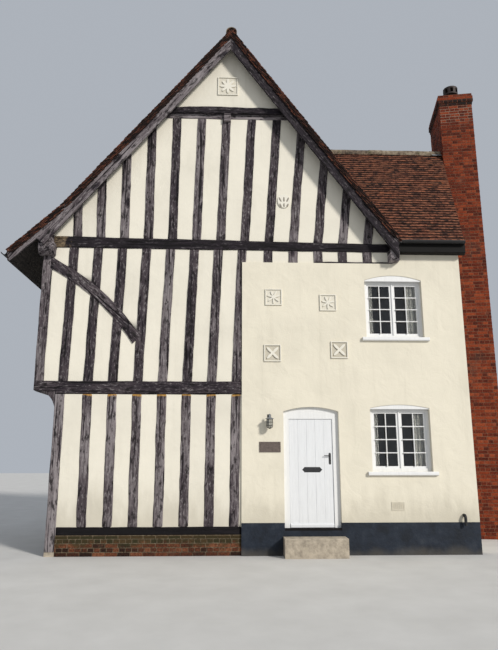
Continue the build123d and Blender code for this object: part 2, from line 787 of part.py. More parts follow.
# Chimney stack outside the party wall, with a breast that closes against it under the roof
chimney_top = range_ridge + chimney_rise
chimney_left = party_line(chimney_front, 0) + chimney_clear
stack_plane = Plane(origin=(chimney_left, chimney_front, 0),
                    x_dir=(cos(radians(chimney_skew)), -sin(radians(chimney_skew)), 0), z_dir=(0, 0, 1))
rear = (chimney_left + chimney_length * sin(radians(chimney_skew)),
        chimney_front + chimney_length * cos(radians(chimney_skew)))
with BuildPart() as chimney_stack:
    with BuildSketch():
        with BuildLine():
            Polyline((party_line(chimney_front, 0), chimney_front), (chimney_left, chimney_front), rear,
                     (party_line(rear[1], 0), rear[1]), close=True)
        make_face()
    extrude(amount=high)
    add(under_range, mode=Mode.INTERSECT)
    with BuildSketch(stack_plane):
        with Locations((chimney_width / 2, chimney_length / 2)):
            Rectangle(chimney_width, chimney_length)
    extrude(amount=chimney_top)
    for i, step in enumerate(cap_steps):
        with BuildSketch(stack_plane.offset(chimney_top - (len(cap_steps) - i) * cap_course)):
            with Locations((chimney_width / 2, chimney_length / 2)):
                Rectangle(chimney_width + 2 * step, chimney_length + 2 * step)
        extrude(amount=cap_course)
    with BuildSketch(stack_plane.offset(hearth)):
        with Locations((chimney_width / 2, flue_back)):
            Rectangle(flue_size, flue_size)
    extrude(amount=chimney_top, mode=Mode.SUBTRACT)

# Metal cowl over the flue: a base plate, a pipe and a slotted drum with a domed lid
cowl_plane = Plane(origin=stack_plane.from_local_coords((chimney_width / 2, flue_back, chimney_top)),
                   x_dir=stack_plane.x_dir, z_dir=(0, 0, 1))
cowl_inner = cowl_drum_radius - cowl_wall
with BuildPart() as chimney_cowl:
    with BuildSketch(cowl_plane):
        Rectangle(cowl_base, cowl_base)
        Circle(cowl_pipe_radius, mode=Mode.SUBTRACT)
    extrude(amount=cowl_base_depth)
    with BuildSketch(Plane(origin=cowl_plane.origin, x_dir=cowl_plane.x_dir, z_dir=-cowl_plane.y_dir)):
        with BuildLine():
            pipe_outer = cowl_pipe_radius + cowl_wall
            dome_top = cowl_drum_top + cowl_dome
            Polyline((cowl_inner, cowl_drum_top - cowl_wall), (cowl_inner, cowl_drum_bottom + 2 * cowl_wall),
                     (cowl_pipe_radius, cowl_drum_bottom + cowl_wall), (cowl_pipe_radius, cowl_base_depth / 2),
                     (pipe_outer, cowl_base_depth / 2), (pipe_outer, cowl_drum_bottom),
                     (cowl_drum_radius, cowl_drum_bottom + cowl_wall), (cowl_drum_radius, cowl_drum_top))
            TangentArc((0, dome_top), (cowl_drum_radius, cowl_drum_top), tangent=(1, 0))
            TangentArc((0, dome_top - cowl_wall), (cowl_inner, cowl_drum_top - cowl_wall), tangent=(1, 0))
            Line((0, dome_top), (0, dome_top - cowl_wall))
        make_face()
    revolve(axis=Axis(cowl_plane.origin, (0, 0, 1)))
    slot_height = (cowl_drum_bottom + cowl_drum_top) / 2
    with Locations(cowl_plane.offset(slot_height)):
        with PolarLocations(cowl_drum_radius, cowl_slots):
            Box(cowl_wall * 4, cowl_slot_width, cowl_slot_height, mode=Mode.SUBTRACT)

# Roof slopes of the range
with BuildPart() as range_slab:
    add(range_prism(0))
    add(under_range, mode=Mode.SUBTRACT)
    add(range_cover.part, mode=Mode.INTERSECT)
    add(beyond_verge, mode=Mode.SUBTRACT)
    add(chimney_stack.part, mode=Mode.SUBTRACT)

with BuildPart() as range_roof_front:
    add(range_slab.part)
    add(box_between((0, 0, 0), (far_right, house_depth, high)), mode=Mode.SUBTRACT)

with BuildPart() as range_roof_back:
    add(range_slab.part)
    add(box_between((0, -house_depth, 0), (far_right, 0, high)), mode=Mode.SUBTRACT)

# Party wall on the right
with BuildPart() as party_wall:
    add(inside_party)
    add(beyond_party, mode=Mode.SUBTRACT)
    add(box_between((0, front + wall_depth, 0), (far_right, -front - wall_depth, high)), mode=Mode.INTERSECT)
    add(under_range, mode=Mode.INTERSECT)

# Ridge tiles of both roofs
with BuildPart() as ridge_tiles:
    with BuildSketch(Plane.XZ):
        with Locations((0, ridge_height - ridge_tile_sink)):
            Circle(ridge_tile_radius)
            Circle(ridge_tile_radius - ridge_tile_wall, mode=Mode.SUBTRACT)
    extrude(amount=house_depth / 2 + verge, both=True)
    with BuildSketch(Plane.YZ.offset(valley_ridge)):
        with Locations((0, range_ridge - ridge_tile_sink)):
            Circle(ridge_tile_radius)
            Circle(ridge_tile_radius - ridge_tile_wall, mode=Mode.SUBTRACT)
    extrude(amount=range_right)
    add(wing_prism(0, verge), mode=Mode.SUBTRACT)
    add(range_prism(0), mode=Mode.SUBTRACT)
    add(beyond_verge, mode=Mode.SUBTRACT)
    add(chimney_stack.part, mode=Mode.SUBTRACT)

# Fascia and soffit boards under the range's eaves
fascia_face = valley_reach + fascia_thickness
fascia_top = range_eave_height - tile_build_up
soffit_top = range_eave_height - roof_build_up / cos(radians(range_pitch))
with BuildPart() as eaves_boards:
    with BuildSketch(Plane.YZ.offset(right_eave)):
        with BuildLine():
            Polyline((-fascia_face, fascia_top), (-fascia_face, fascia_top - fascia_depth),
                     (-valley_reach, fascia_top - fascia_depth), (-valley_reach, soffit_top - fascia_thickness),
                     (front - render_proud, soffit_top - fascia_thickness), (front - render_proud, soffit_top),
                     (-valley_reach, soffit_top), (-valley_reach, fascia_top), close=True)
        make_face()
    extrude(amount=range_right)
    mirror(about=Plane.XZ)
    add(beyond_verge, mode=Mode.SUBTRACT)
    add(range_slab.part, mode=Mode.SUBTRACT)
    add(wall_plates.part, mode=Mode.SUBTRACT)


def gutter_section(y, z):
    """Half-round gutter's section about its centre."""
    with BuildSketch(mode=Mode.PRIVATE) as section:
        with Locations((y, z)):
            Circle(gutter_radius)
            Circle(gutter_radius - gutter_wall, mode=Mode.SUBTRACT)
        with Locations((y, z + gutter_radius / 2)):
            Rectangle(2 * gutter_radius, gutter_radius, mode=Mode.SUBTRACT)
    return section.sketch


# Gutters on the wing's left eave and on the range's eaves
with BuildPart() as gutters:
    with BuildSketch(Plane.XZ):
        add(gutter_section(-left_eave - gutter_radius, eave_left_height - tile_build_up))
    extrude(amount=house_depth / 2 + verge, both=True)
    with BuildSketch(Plane.YZ.offset(right_eave + gutter_radius)):
        for side in (-1, 1):
            add(gutter_section(side * (fascia_face + gutter_radius), fascia_top))
    extrude(amount=range_right)
    add(beyond_verge, mode=Mode.SUBTRACT)

# Door frame: two jambs and an arched head, with stops planted on them
frame_front = front + door_set_back
frame_back = frame_front + door_frame_depth
head_bottom = floor_level + door_height + door_gap
with BuildPart() as door_frame:
    with BuildSketch(front_face.offset(-door_set_back)):
        add(arched_face(door_centre, door_opening, floor_level, door_height + door_head, door_rise))
        with Locations(((door_left + door_right) / 2, (floor_level + head_bottom) / 2)):
            Rectangle(door_width + 2 * door_gap, head_bottom - floor_level, mode=Mode.SUBTRACT)
        with Locations((door_centre, head_bottom + joint_gap / 2)):
            Rectangle(door_opening, joint_gap, mode=Mode.SUBTRACT)
    extrude(amount=-door_frame_depth)

stop_width = door_gap + stop_lap
with BuildPart() as door_stops:
    for x in (door_left - door_gap, door_right + door_gap - stop_width):
        add(box_between((x, frame_front, floor_level),
                        (x + stop_width, frame_front + stop_thickness, head_bottom - stop_width - joint_gap)))
    add(box_between((door_left - door_gap, frame_front, head_bottom + joint_gap - stop_width),
                    (door_right + door_gap, frame_front + stop_thickness, head_bottom + joint_gap)))

# Threshold and the step outside it
plinth_face = front - render_proud - plinth_proud
with BuildPart() as threshold:
    add(box_between((door_frame_left, plinth_face, floor_level - threshold_depth),
                    (door_frame_right, front + wall_depth, floor_level)))
    chamfer(threshold.edges().filter_by(Axis.X).group_by(Axis.Y)[0].sort_by(Axis.Z)[-1], threshold_depth / 4)

with BuildPart() as door_step:
    add(box_between((door_centre + step_shift - step_width / 2, plinth_face - step_proud, 0),
                    (door_centre + step_shift + step_width / 2, plinth_face, floor_level - step_down)))
    fillet(door_step.edges().filter_by(Axis.X).group_by(Axis.Y)[0].sort_by(Axis.Z)[-1], step_rounding)

# Door leaf with a weather bar, bored for the latch's spindle
leaf_front = frame_front + stop_thickness + stop_gap
leaf_back = leaf_front + door_thickness
leaf_bottom = floor_level + door_gap
latch = (door_right - latch_inset, floor_level + latch_rise)
spindle_plane = Plane.XZ.offset(-(leaf_front + leaf_back) / 2)
with BuildPart() as door_leaf:
    add(box_between((door_left + weather_bar_inset, leaf_front - weather_bar_proud, leaf_bottom),
                    (door_right - weather_bar_inset, leaf_front, leaf_bottom + weather_bar_height)))
    chamfer(door_leaf.edges().filter_by(Axis.X).group_by(Axis.Y)[0].sort_by(Axis.Z)[-1], weather_bar_slope)
    add(box_between((door_left, leaf_front, leaf_bottom), (door_right, leaf_back, floor_level + door_height)))
    with BuildSketch(spindle_plane):
        with Locations(latch):
            Circle(spindle_radius + pin_clearance)
    extrude(amount=door_thickness, both=True, mode=Mode.SUBTRACT)

# Hinges on the left jamb, each a knuckle with its leaf screwed to the frame
hinge_face = door_left - door_gap
hinge_y = leaf_back + pin_clearance + hinge_radius
with BuildPart() as door_hinges:
    for share in hinge_shares:
        middle_z = floor_level + door_height * share
        with Locations((hinge_face + hinge_radius, hinge_y, middle_z)):
            Cylinder(hinge_radius, hinge_length)
        add(box_between((hinge_face, hinge_y, middle_z - hinge_length / 2),
                        (hinge_face + hinge_leaf, frame_back, middle_z + hinge_length / 2)))

# Handle plates on both faces and the pointed letter plate on the outside
with BuildPart() as door_plates:
    for face in (leaf_front, leaf_back + handle_plate_thickness):
        with BuildSketch(Plane.XZ.offset(-face)):
            with Locations((latch[0], latch[1] - handle_plate_drop)):
                RectangleRounded(handle_plate_width, handle_plate_height, handle_plate_width * 0.45)
            with Locations(latch):
                Circle(spindle_radius + pin_clearance, mode=Mode.SUBTRACT)
        extrude(amount=handle_plate_thickness)
    with BuildSketch(Plane.XZ.offset(-leaf_front)):
        with Locations((door_left + door_width * letter_plate_share, floor_level + letter_plate_rise)):
            Rectangle(letter_plate_width, letter_plate_depth)
            with Locations((-letter_plate_width / 2, 0), (letter_plate_width / 2, 0)):
                Rectangle(letter_plate_finial, letter_plate_finial, rotation=45)
    extrude(amount=letter_plate_thickness)

# Lever handles inside and outside on one spindle
lever_out = handle_plate_thickness + lever_stand_off
with BuildPart() as door_lever:
    for low, up in ((leaf_front - lever_out - lever_thickness, leaf_front - lever_out),
                    (leaf_back + lever_out, leaf_back + lever_out + lever_thickness)):
        add(box_between((latch[0] - lever_length, low, latch[1] - lever_depth / 2),
                        (latch[0] + spindle_radius, up, latch[1] + lever_depth / 2)))
    fillet(door_lever.edges().filter_by(Axis.X), lever_rounding)
    with BuildSketch(spindle_plane):
        with Locations(latch):
            Circle(spindle_radius)
    extrude(amount=door_thickness / 2 + lever_out + lever_thickness / 2, both=True)

# Window frames with a curtain rail behind the head, opening lights, glass and sills
frame_y = front - render_proud + window_set_back
light_width = (window_width - window_mullion) / 2 - window_frame_width
light_shift = (window_mullion + light_width) / 2
light_places = [(window_centre + side * light_shift, row) for row in window_rows for side in (-1, 1)]
rail_y = frame_y + window_frame_depth
with BuildPart() as window_frames:
    with BuildSketch(Plane.XZ.offset(-frame_y)):
        for row in window_rows:
            add(arched_face(window_centre, window_width, *row))
        for x, (bottom, height, rise) in light_places:
            with Locations((x, bottom + height / 2)):
                Rectangle(light_width, height - 2 * window_frame_width, mode=Mode.SUBTRACT)
    extrude(amount=-window_frame_depth)
    for bottom, height, rise in window_rows:
        rail_bottom = bottom + height - window_frame_width
        add(box_between((window_centre - window_width / 2, rail_y, rail_bottom),
                        (window_centre + window_width / 2, rail_y + rail_size, rail_bottom + rail_size)))
    mirror(about=Plane.XZ)

casement_y = frame_y + window_frame_depth / 4
with BuildPart() as casements:
    with BuildSketch(Plane.XZ.offset(-casement_y)):
        for x, (bottom, height, rise) in light_places:
            light_height = height - 2 * window_frame_width
            with Locations((x, bottom + height / 2)):
                Rectangle(light_width, light_height)
                Rectangle(light_width - 2 * casement_width, light_height - 2 * casement_width,
                          mode=Mode.SUBTRACT)
    extrude(amount=-casement_depth)
    mirror(about=Plane.XZ)

with BuildPart() as window_glass:
    with BuildSketch(Plane.XZ.offset(-casement_y - (casement_depth - glass_thickness) / 2)):
        for x, (bottom, height, rise) in light_places:
            with Locations((x, bottom + height / 2)):
                Rectangle(light_width - 2 * casement_width,
                          height - 2 * window_frame_width - 2 * casement_width)
    extrude(amount=-glass_thickness)
    mirror(about=Plane.XZ)

sill_half = window_width / 2 + sill_horn
with BuildPart() as window_sills:
    for bottom, height, rise in window_rows:
        add(box_between((window_centre - sill_half, front - render_proud - sill_proud, bottom - sill_depth),
                        (window_centre + sill_half, front - render_proud, bottom)))
    chamfer(window_sills.edges().filter_by(Axis.X).group_by(Axis.Y)[0], sill_weathering)
    mirror(about=Plane.XZ)

# Curtains hung from the rails at both sides of each window
curtain_middle = window_width / 2 - curtain_clear - curtain_width / 2
with BuildPart() as curtains:
    for bottom, height, rise in window_rows:
        with BuildSketch(Plane.XY.offset(bottom + height - window_frame_width - pin_clearance)):
            with Locations((window_centre - curtain_middle, rail_y + rail_size / 2),
                           (window_centre + curtain_middle, rail_y + rail_size / 2)):
                RectangleRounded(curtain_width, curtain_thickness, curtain_thickness * 0.45)
        extrude(amount=curtain_clear + window_frame_width - height)
    mirror(about=Plane.XZ)

# Lantern on a bracket beside the door
lantern_foot = floor_level + lantern_rise
lantern_y = front - render_proud - lantern_stand_off
lantern_top = lantern_foot + lantern_body
with BuildPart() as lantern:
    with BuildSketch(wall_face):
        with Locations((lantern_x, lantern_top)):
            RectangleRounded(lantern_plate[0], lantern_plate[1], lantern_plate[0] / 4)
    extrude(amount=lantern_plate[2])
    add(box_between((lantern_x - lantern_arm / 2, lantern_y, lantern_top - lantern_arm),
                    (lantern_x + lantern_arm / 2, front - render_proud, lantern_top)))
    for low_z, up_z, low_size, up_size in ((lantern_foot, lantern_top, lantern_foot_width, lantern_head_width),
                                           (lantern_top, lantern_top + lantern_roof,
                                            lantern_head_width + 2 * lantern_roof_lip, lantern_finial)):
        for z, size in ((low_z, low_size), (up_z, up_size)):
            with BuildSketch(Plane.XY.offset(z)):
                with Locations((lantern_x, lantern_y)):
                    Rectangle(size, size)
        loft()
    with Locations((lantern_x, lantern_y, lantern_top + lantern_roof)):
        Sphere(lantern_finial)

# Bare plate with a raised border
with BuildPart() as name_plate:
    for thickness, inset in ((name_plate_thickness, 0), (name_plate_relief, name_plate_border)):
        with BuildSketch(wall_face.offset(name_plate_thickness - thickness)):
            with Locations((name_plate_x, floor_level + name_plate_rise)):
                Rectangle(name_plate_size[0] - 2 * inset, name_plate_size[1] - 2 * inset)
        extrude(amount=thickness, mode=Mode.SUBTRACT if inset else Mode.ADD)

# Grille of the air brick
with BuildPart() as air_brick:
    with BuildSketch(wall_face):
        with Locations((air_brick_x, air_brick_z)):
            Rectangle(*air_brick_size)
    extrude(amount=air_brick_proud)
    with BuildSketch(wall_face.offset(air_brick_proud)):
        with Locations((air_brick_x, air_brick_z)):
            with GridLocations(air_brick_hole + air_brick_bar, air_brick_hole + air_brick_bar, *air_brick_holes):
                Rectangle(air_brick_hole, air_brick_hole)
    extrude(amount=-air_brick_proud * 0.7, mode=Mode.SUBTRACT)

# Short bent vent pipe over the plinth
with BuildPart() as vent_pipe:
    with BuildLine(Plane.YZ.offset(vent_x)):
        FilletPolyline((front - render_proud, vent_z), (front - render_proud - vent_stand_off - vent_bend, vent_z),
                       (front - render_proud - vent_stand_off - vent_bend, vent_z - vent_drop - vent_bend),
                       radius=vent_bend)
    with BuildSketch(wall_face):
        with Locations((vent_x, vent_z)):
            Circle(vent_radius)
            Circle(vent_radius - vent_wall, mode=Mode.SUBTRACT)
    sweep()


def panel_ground_plate(width, height):
    """Low plate with a raised border, centred on where it stands."""
    with BuildSketch(mode=Mode.PRIVATE) as border:
        Rectangle(width, height)
        Rectangle(width - 2 * panel_border, height - 2 * panel_border, mode=Mode.SUBTRACT)
    return border.sketch


def petals(count, radius, length, width, turn):
    """Ring of pointed-oval petals."""
    with BuildSketch(mode=Mode.PRIVATE) as ring:
        with PolarLocations(radius, count, start_angle=turn):
            Ellipse(length / 2, width / 2)
        Circle(radius * 0.45)
    return ring.sketch


# Moulded plaster squares on the render and in the gables
flower = petals(4, panel_size * 0.24, panel_size * 0.46, panel_size * 0.15, 45)
leaves = petals(7, panel_size * 0.22, panel_size * 0.36, panel_size * 0.1, 12)
rosette = petals(8, gable_panel_size * 0.22, gable_panel_size * 0.36, gable_panel_size * 0.13, 0)
render_panels = [(x, upper_sill + z, flower) for x, z in flower_panels] \
    + [(x, upper_sill + z, leaves) for x, z in leaf_panels]
with BuildPart() as pargetting:
    for x, z, relief in render_panels:
        with BuildSketch(wall_face):
            with Locations((x, z)):
                Rectangle(panel_size, panel_size)
        extrude(amount=panel_ground)
        with BuildSketch(wall_face.offset(panel_ground)):
            with Locations((x, z)):
                add(panel_ground_plate(panel_size, panel_size))
                add(relief)
        extrude(amount=panel_relief - panel_ground)
    peak_face = front_face.offset(peak_proud)
    with BuildSketch(peak_face):
        with Locations((gable_panel_x, collar_bottom + gable_panel_rise)):
            Rectangle(gable_panel_size, gable_panel_size)
    extrude(amount=panel_ground)
    with BuildSketch(peak_face.offset(panel_ground)):
        with Locations((gable_panel_x, collar_bottom + gable_panel_rise)):
            add(panel_ground_plate(gable_panel_size, gable_panel_size))
            add(rosette)
    extrude(amount=panel_relief - panel_ground)
    with BuildSketch(front_face.offset(-infill_recess)):
        with Locations((badge_x, tie_bottom + badge_rise)):
            Ellipse(badge_width / 2, badge_height / 2)
    extrude(amount=panel_relief)

pieces = {
    "tie_beams": tie_beams, "wall_plates": wall_plates, "girding_beams": girding_beams,
    "floor_joists": floor_joists, "jetty_plate": jetty_plate, "first_floor": first_floor,
    "ground_floor": ground_floor, "brick_plinth": brick_plinth, "painted_plinth": painted_plinth,
    "padstones": padstones, "corner_posts": corner_posts, "sole_plates": sole_plates,
    "ground_studs": ground_studs, "ground_infill": ground_infill, "jetty_brackets": jetty_brackets,
    "corner_braces": corner_braces, "upper_studs": upper_studs, "upper_infill": upper_infill,
    "collar_beams": collar_beams, "gable_studs": gable_studs, "gable_infill": gable_infill,
    "gable_peaks": gable_peaks, "pentice_boards": pentice_boards, "bargeboards": bargeboards,
    "wing_roof_left": wing_roof_left, "wing_roof_right": wing_roof_right,
    "chimney_stack": chimney_stack, "chimney_cowl": chimney_cowl,
    "range_roof_front": range_roof_front, "range_roof_back": range_roof_back, "party_wall": party_wall,
    "front_wall_left": front_wall_left, "front_wall_over_door": front_wall_over_door,
    "front_wall_right": front_wall_right, "back_wall": back_wall, "ridge_tiles": ridge_tiles,
    "gutters": gutters, "eaves_boards": eaves_boards, "door_frame": door_frame, "door_stops": door_stops,
    "threshold": threshold, "door_step": door_step, "door_leaf": door_leaf, "door_hinges": door_hinges,
    "door_plates": door_plates, "door_lever": door_lever, "window_frames": window_frames,
    "casements": casements, "window_glass": window_glass, "window_sills": window_sills,
    "curtains": curtains, "lantern": lantern, "name_plate": name_plate, "air_brick": air_brick,
    "vent_pipe": vent_pipe, "pargetting": pargetting,
}
for name, piece in pieces.items():
    piece.part.label = name
    export_step(piece.part, f"parts/{name}.step")
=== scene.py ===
import math
import random

import bmesh
import bpy
from mathutils import Matrix, Vector


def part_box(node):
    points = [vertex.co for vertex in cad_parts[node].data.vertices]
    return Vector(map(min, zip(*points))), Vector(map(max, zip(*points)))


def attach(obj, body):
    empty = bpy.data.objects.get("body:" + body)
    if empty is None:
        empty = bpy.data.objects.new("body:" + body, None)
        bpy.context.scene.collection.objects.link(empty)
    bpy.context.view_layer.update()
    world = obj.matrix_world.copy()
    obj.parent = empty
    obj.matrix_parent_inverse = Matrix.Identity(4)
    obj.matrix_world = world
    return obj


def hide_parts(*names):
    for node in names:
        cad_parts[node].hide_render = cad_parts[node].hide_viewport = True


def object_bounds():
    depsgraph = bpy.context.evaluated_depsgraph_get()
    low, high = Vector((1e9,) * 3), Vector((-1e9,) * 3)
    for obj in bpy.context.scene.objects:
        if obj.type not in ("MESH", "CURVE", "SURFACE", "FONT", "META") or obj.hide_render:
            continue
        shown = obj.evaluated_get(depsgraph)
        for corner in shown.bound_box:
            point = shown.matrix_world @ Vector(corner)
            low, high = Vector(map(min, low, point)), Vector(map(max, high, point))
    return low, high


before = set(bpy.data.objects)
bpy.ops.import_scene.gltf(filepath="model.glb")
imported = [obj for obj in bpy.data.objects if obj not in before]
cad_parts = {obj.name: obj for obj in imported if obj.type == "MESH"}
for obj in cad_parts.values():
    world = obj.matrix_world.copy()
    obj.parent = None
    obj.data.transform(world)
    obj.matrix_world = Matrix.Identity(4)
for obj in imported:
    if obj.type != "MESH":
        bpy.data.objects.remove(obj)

bl_info = {
    "name": "Half timbered house",
    "version": (1, 0, 0),
    "blender": (4, 5, 0),
    "location": "View3D > Sidebar > House",
    "description": "Dresses the packed house with oak, limewash, peg tiles, brick, joinery and curtains",
    "category": "Object",
}

CAD_BOX = [list(corner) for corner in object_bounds()]
UP, SIDEWAYS, INWARDS = Vector((0, 0, 1)), Vector((1, 0, 0)), Vector((0, 1, 0))

# Lines of the house that the pieces follow, in metres and degrees
FRONT = -2.2
RENDER_PROUD = 0.025
VERGE, VERGE_GAP = 0.28, 0.003
LEFT_PITCH, SPROCKET_PITCH, RIGHT_PITCH, RANGE_PITCH = 50.9, 44.0, 54.1, 53.7
WING_RIDGE, RANGE_RIDGE = 10.7404, 9.26
KNEE = (-3.345, 6.6243)  # where the left slope flattens to its sprocket
LEFT_EAVE, RIGHT_EAVE = (-4.324, 5.6789), (3.37, 6.0845)
RANGE_EAVE = (2.38, 6.02)  # half depth and height
VALLEY = ((1.0715, 0.0), (3.4167, 2.38))  # plan of the valley, at the ridge and at the eave
PARTY_SKEW, PARTY_VERGE_X = 14.5, 4.79
BRACE_FALL, POST_EDGE = 34, -3.545
CAPPING = (1.73, 3.28, 5.564)  # left, right, height

STACK_CORNER, STACK_SKEW, STACK_SIZE, STACK_TOP = (5.305, -0.27), 10.0, (0.790, 1.35), 10.735
STACK_LEFT_FOOT = 7.425  # where the stack's left side comes out of the range's roof
CAP_STEPS = (0.012, 0.032, 0.032, 0.014)
BREAST_X, BREAST_WIDTH, BREAST_TOP = 5.163, 0.138, 8.6  # brick between the party wall and the stack
FLASHING_X = 5.195
PLINTH_FRONT, PLINTH_SIDE = (0.18, 3.35), (2.02, 4.04)  # start and length of the bricks
ROUNDEL = (1.11, -2.21, 6.865)

WINDOW_X, WINDOW_WIDTH = 3.275, 1.15
WINDOW_ROWS = ((1.47, 1.18), (4.03, 1.17))  # sill and height
WINDOW_RISES = (0.065, 0.100)
WINDOW_FRAME, MULLION, CASEMENT = 0.055, 0.025, 0.042
CASEMENT_Y = 2.155
CURTAIN_WIDTHS = {"left": 0.17, "right": 0.27}
LEAF = (1.13, 1.99, -2.14, -2.096, 0.477, 2.46)  # left, right, front, back, bottom, top

# The lantern: radii with heights over its foot, and at last with depths under its top
LANTERN_X, LANTERN_OUT = 0.770, 0.130
JAR = ((0.016, 0.012), (0.036, 0.018), (0.049, 0.038), (0.052, 0.07), (0.052, 0.188))
BRIM = ((0.060, 0.180), (0.081, 0.184), (0.081, 0.190), (0.048, 0.204), (0.022, 0.210))
FINIAL = ((0.019, 0.030), (0.014, 0.006), (0.006, 0.0))
CAGE_HOOPS = ((0.006, 0.016), (0.062, 0.059), (0.122, 0.059))  # height and radius
CAGE_RADIUS, CAGE_HEIGHT, CAGE_RIBS = 0.058, 0.186, 8

# The view from the street
EYE, EYE_TURN = (0, -13.31, 1.79), (90 + 12.55, 0, -2)
SENSOR, LENS_SHARE = 36, 580 / 650
SUN_TURN, SUN_POWER, SUN_WIDTH = (62, 0, 42), 3.05, 8


# Making and finishing pieces

def only(piece):
    """Makes one object the only selected and active one."""
    bpy.ops.object.select_all(action="DESELECT")
    piece.select_set(True)
    bpy.context.view_layer.objects.active = piece
    return piece


def in_edit(piece, *steps):
    """Runs edit-mode steps on a whole piece."""
    only(piece)
    bpy.ops.object.mode_set(mode="EDIT")
    for step in steps:
        bpy.ops.mesh.select_all(action="SELECT")
        step()
    bpy.ops.object.mode_set(mode="OBJECT")
    return piece


def radians(degrees):
    """Three turns in radians."""
    return [math.radians(angle) for angle in degrees]


def added(add, **settings):
    """Adds an object with one of Blender's operators, nothing else being selected."""
    bpy.ops.object.select_all(action="DESELECT")
    add(**settings)
    return bpy.context.object


def settle(piece):
    """Puts the piece's place into its mesh, so its object sits unturned at the origin."""
    only(piece)
    bpy.ops.object.transform_apply(location=True, rotation=True, scale=True)
    return piece


def block(size, centre=(0, 0, 0)):
    """A block of wood, brick or metal of that size at that place, to be shaped further."""
    piece = added(bpy.ops.mesh.primitive_cube_add, size=1, location=centre)
    piece.scale = size
    return settle(piece)


def with_modifier(piece, kind, **settings):
    """Adds a modifier with its settings and applies it."""
    only(piece)
    modifier = piece.modifiers.new(kind.lower(), kind)
    for key, value in settings.items():
        setattr(modifier, key, value)
    bpy.ops.object.modifier_apply(modifier=modifier.name)
    return piece


def eased(piece, width):
    """Takes the sharpness off the arrises."""
    return with_modifier(piece, "BEVEL", width=width, segments=1, limit_method="ANGLE",
                         angle_limit=math.radians(40), harden_normals=False)


def wandering(piece, name, scale, strength, direction="NORMAL"):
    """Pushes the faces in and out by clouds of that scale."""
    texture = bpy.data.textures.new(name, "CLOUDS")
    texture.noise_scale, texture.noise_depth = scale, 2
    return with_modifier(piece, "DISPLACE", texture=texture, texture_coords="LOCAL", strength=strength,
                         mid_level=0.5, direction=direction)


def repeated(piece, count, step):
    """Copies the piece along a line."""
    return with_modifier(piece, "ARRAY", count=count, use_relative_offset=False,
                         use_constant_offset=True, constant_offset_displace=step)


def joined(pieces):
    """Joins pieces into one mesh."""
    bpy.ops.object.select_all(action="DESELECT")
    for piece in pieces:
        piece.select_set(True)
    bpy.context.view_layer.objects.active = pieces[0]
    bpy.ops.object.join()
    return pieces[0]


def twin(piece, matrix=None):
    """A copy with its own mesh, turned or mirrored by a matrix."""
    copy = piece.copy()
    copy.data = piece.data.copy()
    bpy.context.scene.collection.objects.link(copy)
    if matrix is not None:
        copy.data.transform(matrix)
        if matrix.determinant() < 0:
            copy.data.flip_normals()
    return copy


def on_both_fronts(piece):
    """The piece and the same on the back of the house, as one."""
    return joined([piece, twin(piece, Matrix.Scale(-1, 4, INWARDS))])


def laid(piece, across, up, out, origin):
    """Turns the piece's own X, Y and Z to three directions and sets it at a place."""
    place = Matrix((across, up, out)).transposed().to_4x4()
    place.translation = origin
    piece.data.transform(place)
    return piece


def kept_in_box(piece):
    """Draws in the corners of uneven bricks that stand out of the CAD box."""
    for vertex in piece.data.vertices:
        vertex.co = [min(max(c, low), high) for c, low, high in zip(vertex.co, *CAD_BOX)]
    return piece


def cut_away(piece, point, normal, fill=True):
    """Cuts off what lies on the normal's side of a plane."""
    return in_edit(piece, lambda: bpy.ops.mesh.bisect(
        plane_co=point, plane_no=normal, use_fill=fill, clear_outer=True))


def trimmed(piece, *planes):
    """Cuts a field of tiles or bricks to its edges."""
    for point, normal in planes:
        cut_away(piece, point, normal)
    return piece


def sliced(piece, axis, low, high, step):
    """Cuts the faces across at even steps, so that a long timber can wander."""
    count = max(2, round((high - low) / step))
    cuts = [low + (high - low) * i / count for i in range(1, count)]

    def slice_at(place):
        return lambda: bpy.ops.mesh.bisect(plane_co=axis * place, plane_no=axis)
    return in_edit(piece, *[slice_at(place) for place in cuts])


def islands(mesh_data):
    """Loose parts of a bmesh, as lists of vertices."""
    seen, parts = set(), []
    for start in mesh_data.verts:
        if start.index in seen:
            continue
        part, queue = [], [start]
        seen.add(start.index)
        while queue:
            vertex = queue.pop()
            part.append(vertex)
            for edge in vertex.link_edges:
                other = edge.other_vert(vertex)
                if other.index not in seen:
                    seen.add(other.index)
                    queue.append(other)
        parts.append(part)
    return parts


def for_each_part(piece, change):
    """Lets a function move the vertices of each loose part; it gets the bmesh and the part."""
    data = bmesh.new()
    data.from_mesh(piece.data)
    data.verts.index_update()
    for part in islands(data):
        change(data, part)
    data.to_mesh(piece.data)
    data.free()
    return piece


def each_its_own(piece, seed, shift=(0, 0, 0), turn=(0, 0, 0)):
    """Gives each loose part its own tone, and sets it a little out of place and out of true."""
    chance = random.Random(seed)

    def unsettle(data, part):
        layer = data.verts.layers.float["tone"]
        tone = chance.uniform(-1, 1)
        move = Vector([chance.uniform(-s, s) for s in shift])
        centre = sum((v.co for v in part), Vector()) / len(part)
        spin = Matrix.Identity(3)
        for axis, most in zip("XYZ", turn):
            if most:
                spin = Matrix.Rotation(chance.uniform(-most, most), 3, axis) @ spin
        for vertex in part:
            vertex[layer] = tone
            vertex.co = centre + spin @ (vertex.co - centre) + move
    if "tone" not in piece.data.attributes:
        piece.data.attributes.new("tone", "FLOAT", "POINT")
    return for_each_part(piece, unsettle)


def cad_copy(node):
    """A merged copy of a CAD node, with flat faces made whole again."""
    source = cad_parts[node]
    piece = bpy.data.objects.new("copy", source.data.copy())
    bpy.context.scene.collection.objects.link(piece)
    return in_edit(piece, lambda: bpy.ops.mesh.remove_doubles(threshold=0.0002),
                   lambda: bpy.ops.mesh.dissolve_limited(angle_limit=math.radians(1)))


